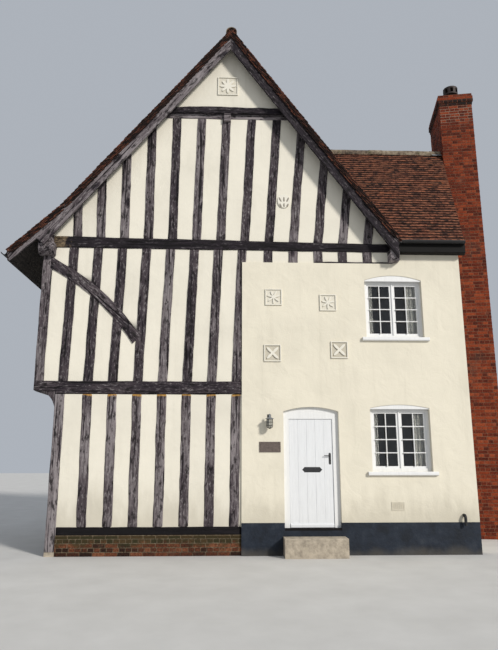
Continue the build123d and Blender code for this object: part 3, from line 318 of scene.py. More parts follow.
def finished(piece, name, finish, body="house", stands_for=(), angle=30):
    """Names a piece, gives it its finish and lets it ride on its body."""
    piece.name = piece.data.name = name
    piece.data.materials.clear()
    piece.data.materials.append(FINISHES[finish])
    only(piece)
    bpy.ops.object.shade_smooth_by_angle(angle=math.radians(angle))
    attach(piece, body)
    if stands_for:
        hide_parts(*stands_for)
    return piece


def paint_nodes(finish, *nodes):
    """Gives CAD nodes their finish."""
    for node in nodes:
        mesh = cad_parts[node].data
        if not mesh.materials:
            mesh.materials.append(FINISHES[finish])
        for i in range(len(mesh.materials)):
            mesh.materials[i] = FINISHES[finish]


# Shader building

class Pattern:
    """A place, value or colour that changes over a surface; what is done to it becomes a shader node."""

    def __init__(self, tree, socket):
        self.tree, self.socket = tree, socket

    def node(self, kind, inputs, output=0, **settings):
        """One more node in the same tree, as a pattern."""
        return new_node(self.tree, kind, inputs, output, **settings)

    def beside(self, output):
        """Another output of the same node."""
        return Pattern(self.tree, self.socket.node.outputs[output])

    def maths(self, operation, other=0.0):
        """This value and another put through a sum."""
        return self.node("ShaderNodeMath", {0: self, 1: other}, operation=operation)

    def __add__(self, other):
        return self.maths("ADD", other)

    def __sub__(self, other):
        return self.maths("SUBTRACT", other)

    def __mul__(self, other):
        return self.maths("MULTIPLY", other)

    def __truediv__(self, other):
        return self.maths("DIVIDE", other)

    def spread(self, low, high, to_low=0.0, to_high=1.0):
        """Softly spreads a value from one range to another."""
        return self.node("ShaderNodeMapRange", {"Value": self, "From Min": low, "From Max": high,
                                                "To Min": to_low, "To Max": to_high},
                         interpolation_type="SMOOTHSTEP")

    def noise(self, scale=1.0, detail=4.0, roughness=0.55, distortion=0.0):
        """Cloudy noise over this place, from 0 to 1."""
        return self.node("ShaderNodeTexNoise", {"Vector": self, "Scale": scale, "Detail": detail,
                                                "Roughness": roughness, "Distortion": distortion})

    def stretched(self, scale, turn=(0, 0, 0)):
        """This place stretched and turned."""
        return self.node("ShaderNodeMapping", {"Vector": self, "Scale": scale, "Rotation": radians(turn)})

    def split(self):
        """X, Y and Z of this place."""
        x = self.node("ShaderNodeSeparateXYZ", {0: self})
        return x, x.beside(1), x.beside(2)

    def mixed(self, low, high):
        """One colour where this mask is 0 and the other where it is 1."""
        low, high = (c if isinstance(c, Pattern) else (*c, 1) for c in (low, high))
        return self.node("ShaderNodeMix", {0: self, 6: low, 7: high}, 2, data_type="RGBA")

    def ramp(self, *stops):
        """Colours along this value."""
        colours = self.node("ShaderNodeValToRGB", {0: self})
        elements = colours.socket.node.color_ramp.elements
        for element, (place, colour) in zip(elements, (stops[0], stops[-1])):
            element.position, element.color = place, (*colour, 1)
        for place, colour in stops[1:-1]:
            elements.new(place).color = (*colour, 1)
        return colours

    def shared(self, name, **values):
        """This place put through a shared effect with its own values."""
        return self.node("ShaderNodeGroup", {"Vector": self, **values}, node_tree=EFFECTS[name])

    def patches(self, scale, low, high):
        """Patches over this place, from the shared effect."""
        return self.shared("patches", Scale=scale, Low=low, High=high)


def new_node(tree, kind, inputs, output=0, **settings):
    """A shader node with its settings; an input is a value or a pattern, and one output comes back."""
    node = tree.nodes.new(kind)
    for key, value in settings.items():
        setattr(node, key, value)
    for key, value in inputs.items():
        if isinstance(value, Pattern):
            tree.links.new(value.socket, node.inputs[key])
        else:
            node.inputs[key].default_value = value
    return Pattern(tree, node.outputs[output])


# Effects that several finishes share; each gives its named outputs

def patches(place, scale, low, high):
    """Soft-edged patches."""
    return {"Mask": place.noise(scale, 6.0, 0.62).spread(low, high)}


def timber_grain(place, tone):
    """Fibres, bands, shakes and knots of a hewn timber that grew along Z; no two tones look alike."""
    shift = place.node("ShaderNodeCombineXYZ", {"X": tone * 7.0, "Z": tone * 13.0})
    place = place.node("ShaderNodeVectorMath", {0: place, 1: shift}, operation="ADD")
    fibres = place.stretched((70, 70, 3.2)).noise(1.0, 5, 0.65, 0.3)
    bands = place.stretched((13, 13, 0.9)).noise(1.0, 3, 0.5, 1.2)
    broad = place.stretched((2.2, 2.2, 0.8)).noise(1.0, 3, 0.6)
    shakes = place.stretched((24, 24, 0.75)).noise(1.0, 2, 0.4, 0.6).spread(0.60, 0.68)
    knots = place.node("ShaderNodeTexVoronoi", {"Vector": place.stretched((3.1, 3.1, 1.25)), "Scale": 1.0,
                                                "Randomness": 1.0}, "Distance").spread(0.20, 0.09)
    shade = fibres * 0.42 + bands * 0.40 + broad * 0.42 + tone * 0.10 - shakes * 0.34 - knots * 0.25
    return {"Shade": shade, "Height": fibres * 0.35 + bands * 0.5 - shakes * 0.9}


def splash(place, foot, reach):
    """Dirt thrown up from the ground, with a ragged edge."""
    cloud = place.stretched((3, 3, 1)).noise(1.0, 5, 0.6)
    height = (place.split()[2] - foot) / reach + (cloud - 0.5) * 1.6
    return {"Mask": height.spread(1.0, 0.1)}


EFFECTS = {}


def make_effect(wiring, **defaults):
    """A shader node group named after the function that wires it, with a place and values as inputs."""
    tree = bpy.data.node_groups.new(wiring.__name__, "ShaderNodeTree")
    tree.interface.new_socket("Vector", in_out="INPUT", socket_type="NodeSocketVector")
    for label, value in defaults.items():
        socket = tree.interface.new_socket(label, in_out="INPUT", socket_type="NodeSocketFloat")
        socket.default_value = value
    given = tree.nodes.new("NodeGroupInput").outputs
    results = wiring(*[Pattern(tree, given[label]) for label in ("Vector", *defaults)])
    for label in results:
        tree.interface.new_socket(label, in_out="OUTPUT", socket_type="NodeSocketFloat")
    taken = tree.nodes.new("NodeGroupOutput").inputs
    for label, result in results.items():
        tree.links.new(result.socket, taken[label])
    EFFECTS[wiring.__name__] = tree


FINISHES = {}


class Surface:
    """A finish in the making: its shader's inputs, the place on the object and the colour so far."""

    def __init__(self, name, roughness, specular=0.5):
        FINISHES[name] = finish = bpy.data.materials.new(name)
        finish.use_nodes = True
        self.tree = finish.node_tree
        self.shader = self.tree.nodes["Principled BSDF"].inputs
        self.shader["Roughness"].default_value = roughness
        self.shader["Specular IOR Level"].default_value = specular
        self.place = new_node(self.tree, "ShaderNodeTexCoord", {}, "Object")

    def attribute(self, name):
        """A value that the mesh carries, such as each loose part's tone."""
        return self.place.node("ShaderNodeAttribute", {}, "Fac", attribute_name=name)

    def tint(self, mask, colour):
        """Lays a colour over the one so far, as strongly as the mask says."""
        self.colour = mask.mixed(self.colour, colour)

    def feed(self, name, pattern):
        """Lets a pattern drive one of the shader's inputs."""
        self.tree.links.new(pattern.socket, self.shader[name])

    def closed(self, height, distance):
        """Feeds the shader its colour and raises the surface by a height pattern."""
        self.feed("Base Color", self.colour)
        self.feed("Normal", height.node("ShaderNodeBump", {"Height": height, "Distance": distance,
                                                           "Strength": 1.0}))


def shaded(colour, factor, most=1.0):
    """A lighter or darker shade of a colour."""
    return tuple(min(most, c * factor) for c in colour)


# Finishes

def oak(name, turn=(0, 0, 0), lift=0.0, fold=False, ochre_head=None, dark_right=0.0, tan_end=None):
    """Weathered oak, purple-black with silver flecks, with the grain along the turned Z.

    Fold mirrors the right side's grain to the left, for the two bargeboards of a gable.
    """
    surface = Surface(name, 0.88, 0.25)
    place = surface.place
    x, y, z = place.split()
    if fold:
        place = x.node("ShaderNodeCombineXYZ", {"X": x.maths("ABSOLUTE") * -1.0, "Y": y, "Z": z})
    turned = place.stretched((1, 1, 1), turn)
    grain = turned.shared("timber_grain", Tone=surface.attribute("tone"))
    shade = grain + lift
    if dark_right:
        shade = shade - x.spread(0.0, 0.06, 0.0, dark_right)
    surface.colour = shade.ramp((0.28, (0.005, 0.004, 0.005)), (0.49, (0.020, 0.015, 0.020)),
                                (0.65, (0.066, 0.052, 0.058)), (0.84, (0.27, 0.24, 0.245)))
    fleck = turned.stretched((30, 30, 10)).noise(1.0, 5, 0.75, 0.5)
    silver = fleck.spread(0.53, 0.64) * shade.spread(0.32, 0.72)
    surface.tint(silver * 0.85, (0.27, 0.25, 0.25))
    pits = turned.stretched((15, 15, 5)).noise(1.0, 5, 0.65).spread(0.48, 0.38)
    surface.tint(pits * 0.85, (0.006, 0.005, 0.005))
    if tan_end:
        end = x + place.noise(7, 3) * 0.45
        end = end.spread(tan_end + 0.19, tan_end + 0.13) * fleck.spread(0.34, 0.6)
        surface.tint(end * 0.8, (0.28, 0.205, 0.125))
    if ochre_head:
        head = z + place.noise(6, 3) * 0.10
        surface.tint(head.spread(ochre_head, ochre_head + 0.03) * 0.85, (0.46, 0.25, 0.06))
    surface.closed(grain.beside("Height") + fleck * 0.25, 0.012)


def limewash(name, base, dirt, streaks, foot, bump):
    """Lime plaster or painted render: cloudy, trowelled, with runs of dirt."""
    surface = Surface(name, 0.9)
    place = surface.place
    surface.colour = place.noise(0.9, 5, 0.6).ramp((0.3, shaded(base, 0.92)), (0.52, base),
                                                   (0.72, shaded(base, 1.04, 0.92)))
    runs = place.stretched((5.5, 5.5, 0.35)).noise(1.0, 5, 0.6, 0.4)
    surface.tint(runs.spread(0.5, 0.78) * streaks, dirt)
    surface.tint(place.patches(2.3, 0.58, 0.78) * (streaks * 0.8), shaded(dirt, 1.3))
    if foot:
        surface.tint(place.shared("splash", Foot=foot[0], Reach=foot[1]) * 0.55, dirt)
    trowel, grit = place.noise(3.0, 4, 0.5, 0.5), place.noise(60, 3, 0.6)
    surface.closed(trowel + grit * 0.12, bump)


def roof_tiles(name, moss, orange, dark=0.0, contrast=0.30, tail_wear_and_highlight=0.7):
    """Peg tiles of their own tones: tails paler by wear and painted highlight, painted shade under the laps
    and on the tail ends, lichen and moss.
    """
    surface = Surface(name, 0.88, 0.2)
    place, tone, tail = surface.place, surface.attribute("tone"), surface.attribute("tail")
    mottled = place.noise(22, 4, 0.6)
    value = tone * contrast + mottled - dark + (place.noise(0.7, 3, 0.55) - 0.5) * 0.24
    surface.colour = value.ramp((0.22, (0.012, 0.006, 0.005)), (0.42, (0.040, 0.016, 0.011)),
                                (0.6, (0.095, 0.033, 0.020)), (0.84, (0.22, 0.074, 0.037)))
    warm = place.patches(1.1, 0.62 - orange * 0.12, 0.76) * tone.spread(-0.1, 0.7)
    surface.tint(warm, (0.34, 0.10, 0.035))
    # Paler tail edges: wear, and a painted highlight where light catches the tails
    worn = tail.spread(0.55, 0.95) * place.noise(9, 4, 0.6).spread(0.42, 0.6)
    surface.tint(worn * tail_wear_and_highlight, (0.38, 0.150, 0.080))
    lichen = place.patches(17.0, 0.63, 0.70) * place.noise(1.3, 3, 0.5).spread(0.42, 0.62)
    surface.tint(lichen * 0.5, (0.30, 0.25, 0.17))
    green = place.patches(3.0, 0.66 - moss * 0.14, 0.78) * tail.spread(0.2, 0.7)
    surface.tint(green * 0.55, (0.075, 0.075, 0.032))
    # Painted shade: dark under the tail of the course above and on the down-facing tail ends
    painted_shade_under_lap = tail.spread(0.52, 0.36) * tail.spread(0.0, 0.05)
    painted_shade_end_face = place.beside("Normal").split()[2].spread(0.1, -0.3)
    surface.tint((painted_shade_under_lap * 0.8).maths("MAXIMUM", painted_shade_end_face * 0.75), (0.008, 0.005, 0.004))
    surface.closed(mottled + lichen * 0.4, 0.004)


def mossy_ridge():
    """Half-round ridge tiles under grey lichen and moss."""
    surface = Surface("mossy_ridge", 0.93)
    mottled = surface.place.noise(9, 6, 0.65)
    value = mottled + surface.attribute("tone") * 0.1
    surface.colour = value.ramp((0.3, (0.045, 0.034, 0.024)), (0.45, (0.12, 0.088, 0.062)),
                                (0.58, (0.22, 0.175, 0.12)), (0.75, (0.33, 0.28, 0.21)))
    moss = surface.place.patches(5.0, 0.52, 0.66)
    surface.tint(moss * 0.7, (0.095, 0.090, 0.040))
    surface.closed(mottled + moss, 0.012)


def roof_slab():
    """Slab of the roof: ends of the lapped tiles at the verges, dark boards and rafters below."""
    surface = Surface("roof_slab", 0.9)
    place = surface.place
    _, facing_front, facing_up = place.beside("Normal").split()
    below = facing_up.spread(-0.15, -0.3)
    verge = facing_front.maths("ABSOLUTE").spread(0.75, 0.9)
    laps = place.noise(17, 5, 0.7)
    ends = laps.ramp((0.38, (0.012, 0.007, 0.006)), (0.52, (0.075, 0.028, 0.019)),
                     (0.68, (0.21, 0.085, 0.050)))
    boards = place.stretched((30, 2, 30)).noise().ramp((0.35, (0.010, 0.008, 0.007)),
                                                       (0.7, (0.035, 0.027, 0.022)))
    surface.colour = verge.mixed(below.mixed((0.06, 0.033, 0.026), boards), ends)
    surface.closed(laps, 0.02)


def brickwork(name, stops, soot, moss_top=None, band=None):
    """Soft red bricks, each of its own tone, with moss over a height or a sooty band between two."""
    surface = Surface(name, 0.9, 0.2)
    place = surface.place
    mottled = place.noise(34, 5, 0.65)
    surface.colour = (mottled + surface.attribute("tone") * 0.24).ramp(*stops)
    surface.tint(place.patches(3.5, 0.58, 0.75) * 0.15, (0.46, 0.29, 0.19))
    grime = place.stretched((2, 2, 0.7)).patches(1.2, 0.60 - soot * 0.16, 0.80 - soot * 0.1)
    surface.tint(grime * 0.65, (0.045, 0.032, 0.026))
    height = place.split()[2]
    if moss_top:
        moss = (height + place.noise(3.2, 6, 0.7) * 0.55).spread(moss_top - 0.02, moss_top + 0.10)
        surface.tint(moss * 0.8, (0.032, 0.030, 0.012))
    if band:
        low, high = band
        sooty = height.spread(low - 0.01, low) * height.spread(high, high - 0.01)
        sooty = sooty * place.noise(12).spread(0.3, 0.5, 0.5, 0.95)
        surface.tint(sooty, (0.012, 0.010, 0.009))
    surface.closed(mottled, 0.005)


def mortar(name, low_colour, high_colour, fresh=None, bonded=0.55):
    """Lime mortar, drawn in courses where no brick lies over it, and pale between two heights if fresh."""
    surface = Surface(name, 0.95, 0.2)
    place = surface.place
    x, y, z = place.split()
    flat = x.node("ShaderNodeCombineXYZ", {"X": x + y, "Y": z})
    lime = place.noise(20, 5, 0.6).ramp((0.35, low_colour), (0.65, high_colour))
    if fresh:
        low, high = fresh
        pointed = (z + place.noise(4, 3) * 0.4).spread(low, low + 0.3) * z.spread(high + 0.01, high)
        lime = pointed.mixed(lime, (0.33, 0.275, 0.21))
    bond = flat.node("ShaderNodeTexBrick", {
        "Vector": flat, "Scale": 1.0, "Brick Width": 0.225, "Row Height": 0.075, "Mortar Size": 0.006,
        "Color1": (0.26, 0.07, 0.035, 1), "Color2": (0.17, 0.045, 0.025, 1), "Mortar": lime}, "Color")
    surface.colour = bond.node("ShaderNodeMix", {0: bonded, 6: lime, 7: bond}, 2, data_type="RGBA")
    surface.closed(bond.beside("Fac"), -0.004)


def paint(name, base, dirt, roughness, amount, grain=(30, 30, 3), specular=0.5):
    """Brushed paint on wood or fired clay, with dirt in patches."""
    surface = Surface(name, roughness, specular)
    brush = surface.place.stretched(grain).noise(1.0, 4, 0.6)
    surface.colour = brush.ramp((0.3, shaded(base, 0.94)), (0.6, base))
    worn = surface.place.patches(6.0, 0.55, 0.78)
    surface.tint(worn * amount, dirt)
    surface.feed("Roughness", worn.spread(0.0, 1.0, roughness, min(1.0, roughness + 0.3)))
    surface.closed(brush, 0.002)


def tarred_plinth():
    """Tarred plinth, blue-black with pale splashes at its foot."""
    surface = Surface("tarred_plinth", 0.6, 0.3)
    surface.colour = surface.place.noise(3.5, 6, 0.62).ramp(
        (0.35, (0.005, 0.008, 0.014)), (0.55, (0.011, 0.017, 0.029)), (0.75, (0.030, 0.036, 0.046)))
    surface.tint(surface.place.shared("splash", Foot=-0.05, Reach=0.22) * 0.5, (0.10, 0.088, 0.070))
    surface.closed(surface.place.noise(12, 5, 0.6), 0.008)


def worn_stone(base):
    """Riven and foot-worn stone."""
    surface = Surface("worn_stone", 0.85)
    cloud = surface.place.noise(8, 6, 0.65)
    surface.colour = cloud.ramp((0.3, shaded(base, 0.55)), (0.55, base), (0.75, shaded(base, 1.3)))
    surface.tint(surface.place.patches(4.0, 0.60, 0.74) * 0.4, (0.10, 0.10, 0.05))
    surface.closed(cloud, 0.010)


def metal(name, base, roughness, metallic=0.0):
    """Painted or dull metal with uneven sheen."""
    surface = Surface(name, roughness)
    surface.shader["Metallic"].default_value = metallic
    cloud = surface.place.noise(26, 5, 0.6)
    surface.colour = cloud.ramp((0.3, shaded(base, 0.7)), (0.7, shaded(base, 1.35)))
    surface.tint(surface.place.patches(15.0, 0.68, 0.8) * 0.4, (0.10, 0.05, 0.03))
    surface.feed("Roughness", cloud.spread(0.3, 0.7, roughness, min(1, roughness + 0.2)))
    surface.closed(cloud, 0.0015)


def old_glass():
    """Thin, slightly wavy window glass."""
    surface = Surface("old_glass", 0.03)
    surface.shader["Transmission Weight"].default_value = 1.0
    surface.shader["IOR"].default_value = 1.45
    surface.colour = surface.place.noise(3, 2).ramp((0.3, (0.93, 0.95, 0.96)), (0.7, (0.97, 0.98, 0.98)))
    surface.closed(surface.place.noise(2.5, 2, 0.4), 0.001)


def striped_cloth():
    """Pale curtain cloth with grey stripes and a plain weave, on its own UV map."""
    surface = Surface("striped_cloth", 0.95)
    surface.shader["Sheen Weight"].default_value = 0.2
    flat = surface.place.beside("UV")
    stripe = (flat.split()[0] * (6.2832 * 4)).maths("SINE")
    surface.colour = stripe.spread(-0.3, 0.7).mixed((0.60, 0.58, 0.51), (0.37, 0.36, 0.33))
    weave = flat.node("ShaderNodeTexWave", {"Vector": flat, "Scale": 160.0, "Distortion": 1.0}, "Fac")
    surface.closed(weave, 0.0008)


def moulded_plaster(name, shade, ground):
    """Moulded plaster, clean on its raised parts, with dirt and painted shade in its hollows; ground is the
    wall's face.

    The four squares on the render are faint, and the gable's, which lies further back, is clean all over.
    """
    surface = Surface(name, 0.9)
    _, y, z = surface.place.split()
    cloud, base = surface.place.noise(38, 4, 0.6), (0.77, 0.735, 0.64)
    depth = y.maths("ABSOLUTE") + (cloud - 0.5) * 0.006
    # Hollows take the shade colour: dirt and painted shade, by depth from the wall's face
    raised = depth.spread(ground + 0.003, ground + 0.018)
    faint = z.spread(4.45, 4.5) * z.spread(5.6, 5.55)
    roundel = z.spread(6.5, 6.55) * z.spread(7.25, 7.2)
    raised = raised.maths("MAXIMUM", roundel * (1.0 if ground > -ROUNDEL[1] else 0.0))
    surface.colour = raised.mixed((faint * 0.65).mixed(shade, base), base)
    surface.closed(cloud, 0.004)


def lantern_panes():
    """Obscured pale panes."""
    surface = Surface("lantern_panes", 0.3)
    cloud = surface.place.noise(30, 3)
    surface.colour = cloud.ramp((0.3, (0.34, 0.33, 0.28)), (0.7, (0.58, 0.56, 0.48)))
    surface.closed(cloud, 0.001)


def pale_floor():
    """The stage's floor."""
    surface = Surface("pale_floor", 0.85)
    cloud = surface.place.noise(1.5, 3)
    surface.feed("Base Color", cloud.ramp((0.3, (0.56, 0.55, 0.53)), (0.7, (0.62, 0.61, 0.59))))


def make_finishes(colours):
    """Every finish of the house."""
    make_effect(patches, Scale=3.0, Low=0.5, High=0.7)
    make_effect(timber_grain, Tone=0.0)
    make_effect(splash, Foot=0.0, Reach=0.5)
    cream, dirt = tuple(colours.limewash), (0.46, 0.42, 0.33)
    warm_cream = tuple(c * f for c, f in zip(cream, (0.985, 0.972, 0.935)))
    red = ((0.20, (0.045, 0.008, 0.004)), (0.42, (0.110, 0.018, 0.007)), (0.6, (0.185, 0.031, 0.010)),
           (0.84, (0.28, 0.062, 0.022)))
    old_red = ((0.22, (0.012, 0.006, 0.004)), (0.42, (0.036, 0.014, 0.008)), (0.6, (0.100, 0.030, 0.014)),
               (0.82, (0.21, 0.085, 0.042)))
    sideways = (0, 90, 0)
    oak("oak_upright", lift=0.02)
    oak("oak_ground", lift=0.02, ochre_head=2.905)
    oak("oak_post", lift=0.11)
    oak("oak_beam", sideways, -0.12)
    oak("oak_tie", sideways, -0.12, tan_end=-3.17)
    oak("oak_collar", sideways, 0.13)
    oak("oak_peak", sideways, -0.20)
    oak("oak_sole", sideways, -0.42)
    oak("oak_floor", sideways, 0.02)
    oak("oak_cross", (90, 0, 0), 0.08)
    oak("oak_brace", (0, 48, 0), 0.04)
    oak("oak_barge", (0, -(90 - LEFT_PITCH), 0), 0.07, True, dark_right=0.27)
    limewash("panel_plaster", cream, dirt, 0.14, (0.42, 0.9), 0.011)
    limewash("wall_render", warm_cream, dirt, 0.20, (0.5, 0.7), 0.017)
    limewash("peak_plaster", shaded(cream, 0.98), dirt, 0.22, None, 0.010)
    # Colours of the hollows of the moulded plaster: dirt and painted shade
    moulded_plaster("moulded_plaster", (0.52, 0.48, 0.39), -FRONT + RENDER_PROUD)
    moulded_plaster("sprig_plaster", (0.17, 0.14, 0.11), -ROUNDEL[1])
    roof_tiles("wing_tiles", 0.3, 0.2)
    roof_tiles("range_tiles", 0.2, 0.6, 0.0, 0.18, 0.8)
    roof_tiles("verge_tiles", 0.1, -0.9, 0.17, 0.34, 0.35)
    mossy_ridge()
    roof_slab()
    brickwork("stack_brick", red, 0.25, band=(STACK_TOP - 0.30, STACK_TOP - 0.15))
    brickwork("plinth_brick", old_red, 0.4, moss_top=0.44)
    mortar("stack_mortar", (0.075, 0.040, 0.025), (0.18, 0.11, 0.070),
           (STACK_TOP - 0.75, STACK_TOP - 0.32))
    mortar("plinth_mortar", (0.035, 0.030, 0.019), (0.19, 0.16, 0.105), bonded=0.1)
    tarred_plinth()
    worn_stone((0.42, 0.36, 0.28))
    paint("air_brick", (0.60, 0.55, 0.44), (0.30, 0.26, 0.20), 0.8, 0.3, (20, 20, 20))
    paint("door_paint", tuple(colours.door), (0.50, 0.49, 0.46), 0.4, 0.10)
    paint("joinery_paint", tuple(colours.joinery), (0.50, 0.48, 0.43), 0.42, 0.12)
    paint("eaves_paint", (0.006, 0.0055, 0.005), (0.026, 0.022, 0.019), 0.75, 0.35, (3, 30, 30), 0.2)
    metal("black_iron", (0.016, 0.016, 0.018), 0.42)
    metal("gutter_plastic", (0.008, 0.008, 0.009), 0.5)
    metal("dull_lead", (0.20, 0.21, 0.22), 0.55, 0.3)
    metal("sooty_metal", (0.045, 0.034, 0.030), 0.6, 0.4)
    metal("bronze_plate", (0.115, 0.088, 0.076), 0.5, 0.1)
    old_glass()
    striped_cloth()
    lantern_panes()
    pale_floor()


# The pieces

class HouseSizes(bpy.types.PropertyGroup):
    """Sizes of the pieces that dress the house."""
    tile_width: bpy.props.FloatProperty(
        name="Tile width", description="Width of a peg tile", default=0.165, min=0.05, unit="LENGTH")
    tile_gauge: bpy.props.FloatProperty(
        name="Tile gauge", description="Height of a course of tiles", default=0.105, min=0.05,
        unit="LENGTH")
    tile_thickness: bpy.props.FloatProperty(
        name="Tile thickness", description="Thickness of a peg tile", default=0.013, min=0.005,
        unit="LENGTH")
    brick_length: bpy.props.FloatProperty(
        name="Brick length", description="Length of a brick", default=0.215, min=0.1, unit="LENGTH")
    brick_height: bpy.props.FloatProperty(
        name="Brick height", description="Height of a brick", default=0.065, min=0.03, unit="LENGTH")
    joint: bpy.props.FloatProperty(
        name="Joint", description="Width of a mortar joint", default=0.010, min=0.003, unit="LENGTH")
    bar_width: bpy.props.FloatProperty(
        name="Glazing bar", description="Width of a glazing bar", default=0.020, min=0.005, unit="LENGTH")
    hewn: bpy.props.FloatProperty(
        name="Hewing", description="How far a timber's faces wander", default=0.012, min=0.0, unit="LENGTH")


class HouseColours(bpy.types.PropertyGroup):
    """Colours of the main finishes."""
    limewash: bpy.props.FloatVectorProperty(
        name="Limewash", description="Colour of the plaster", default=(0.765, 0.722, 0.615), size=3, min=0,
        max=1, subtype="COLOR")
    door: bpy.props.FloatVectorProperty(
        name="Door", description="Colour of the front door", default=(0.76, 0.77, 0.78), size=3, min=0,
        max=1, subtype="COLOR")
    joinery: bpy.props.FloatVectorProperty(
        name="Joinery", description="Colour of frames and casements", default=(0.80, 0.80, 0.79), size=3,
        min=0, max=1, subtype="COLOR")


class HousePiece:
    """What all the house's operators share."""
    bl_options = {"REGISTER", "UNDO"}

    @property
    def sizes(self):
        return bpy.context.scene.house_sizes


TILE_LAP = 0.045


def hewn_timber(node, name, axis, step, finish, seed, wander, edge=0.012, sway=0.0):
    """An oak piece from a CAD node: cut across, eased along its arrises and set wandering.

    Sway bends the timber as a whole across its length in the wall's plane.
    """
    piece = cad_copy(node)
    low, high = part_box(node)
    index = list(axis).index(1)
    sliced(piece, axis, low[index], high[index], step)
    eased(piece, edge)
    each_its_own(piece, seed)
    wandering(piece, name, 0.14, wander)
    if sway:
        wandering(piece, name, 0.45, sway, "X" if axis == UP else "Z")
    return finished(piece, name, finish, stands_for=(node,), angle=35)


class HOUSE_OT_timbers(HousePiece, bpy.types.Operator):
    """Hewn oak uprights, posts, beams, braces and brackets"""
    bl_idname = "house.timbers"
    bl_label = "Oak frame"

    @staticmethod
    def run_into_post(braces):
        """Draws the braces' square-cut heads out along their run, until they meet the posts."""
        fall = math.radians(BRACE_FALL)
        run = Vector((-math.cos(fall), 0, math.sin(fall)))
        reach = max(v.co.dot(run) for v in braces.data.vertices)
        for vertex in braces.data.vertices:
            if vertex.co.dot(run) > reach - 0.06 and vertex.co.x > POST_EDGE:
                vertex.co += run * ((POST_EDGE - vertex.co.x) / run.x)

    def execute(self, context):
        for seed, (node, name, axis, step, finish, sway) in enumerate((
                ("ground_studs", "oak_ground_uprights", UP, 0.12, "oak_ground", 0.024),
                ("upper_studs", "oak_upper_uprights", UP, 0.12, "oak_upright", 0.024),
                ("gable_studs", "oak_gable_uprights", UP, 0.12, "oak_upright", 0.024),
                ("corner_posts", "oak_corner_posts", UP, 0.16, "oak_post", 0.02),
                ("sole_plates", "oak_sole_plates", SIDEWAYS, 0.3, "oak_sole", 0.01),
                ("girding_beams", "oak_girding_beams", SIDEWAYS, 0.2, "oak_beam", 0.02),
                ("tie_beams", "oak_tie_beams", SIDEWAYS, 0.2, "oak_tie", 0.02),
                ("collar_beams", "oak_collar_beams", SIDEWAYS, 0.2, "oak_collar", 0.02),
                ("corner_braces", "oak_braces", SIDEWAYS, 0.12, "oak_brace", 0.02),
                ("jetty_brackets", "oak_brackets", UP, 0.08, "oak_post", 0.0),
                ("wall_plates", "oak_wall_plates", INWARDS, 0.3, "oak_cross", 0.0))):
            wander = self.sizes.hewn * (0.5 if node == "wall_plates" else 1)
            timber = hewn_timber(node, name, axis, step, finish, seed, wander, sway=sway)
            if node == "corner_braces":
                self.run_into_post(timber)
        paint_nodes("oak_cross", "floor_joists", "jetty_plate")
        paint_nodes("oak_floor", "first_floor")
        paint_nodes("oak_sole", "threshold")
        return {"FINISHED"}


class HOUSE_OT_bargeboards(HousePiece, bpy.types.Operator):
    """Bargeboards under the lapped ends of the verge tiles, and the cambered boards under the peaks"""
    bl_idname = "house.bargeboards"
    bl_label = "Bargeboards"

    @staticmethod
    def lapped_ends(low, high, side, layer, gauge):
        """One layer of the tile ends along one verge; side is 1 on the left slope and -1 on the right."""
        start, end = Vector((low[0], 0, low[1])), Vector((high[0], 0, high[1]))
        along = (end - start).normalized()
        down = Vector((side * abs(along.z), 0, -abs(along.x)))
        tile = eased(block((gauge + TILE_LAP, 0.034, 0.017)), 0.003)
        tile.data.transform(Matrix.Rotation(math.radians(7 * side), 4, "Y"))
        repeated(tile, int((end - start).length / gauge), (gauge, 0, 0))
        place = start + along * (gauge * (0.6 + 0.37 * (layer % 3))) + down * (0.012 + 0.026 * layer)
        place.y = FRONT - VERGE - VERGE_GAP + 0.002 * layer
        return laid(tile, along, INWARDS, along.cross(INWARDS), place)

    def execute(self, context):
        hewn = self.sizes.hewn
        hewn_timber("bargeboards", "barge_planks", SIDEWAYS, 0.25, "oak_barge", 41, hewn * 0.6, 0.006)
        hewn_timber("pentice_boards", "peak_boards", SIDEWAYS, 0.12, "oak_peak", 42, hewn * 1.6, 0.010,
                    sway=0.03)
        peak, layers = (0, WING_RIDGE), 5
        verges = ((KNEE, peak, 1), (LEFT_EAVE, KNEE, 1), (RIGHT_EAVE, peak, -1))
        stack = joined([self.lapped_ends(*verge, layer, self.sizes.tile_gauge)
                        for verge in verges for layer in range(layers)])
        each_its_own(stack, 43, (0.006, 0.006, 0.004), (0, 0.09, 0))
        finished(on_both_fronts(stack), "verge_stack", "verge_tiles")
        return {"FINISHED"}


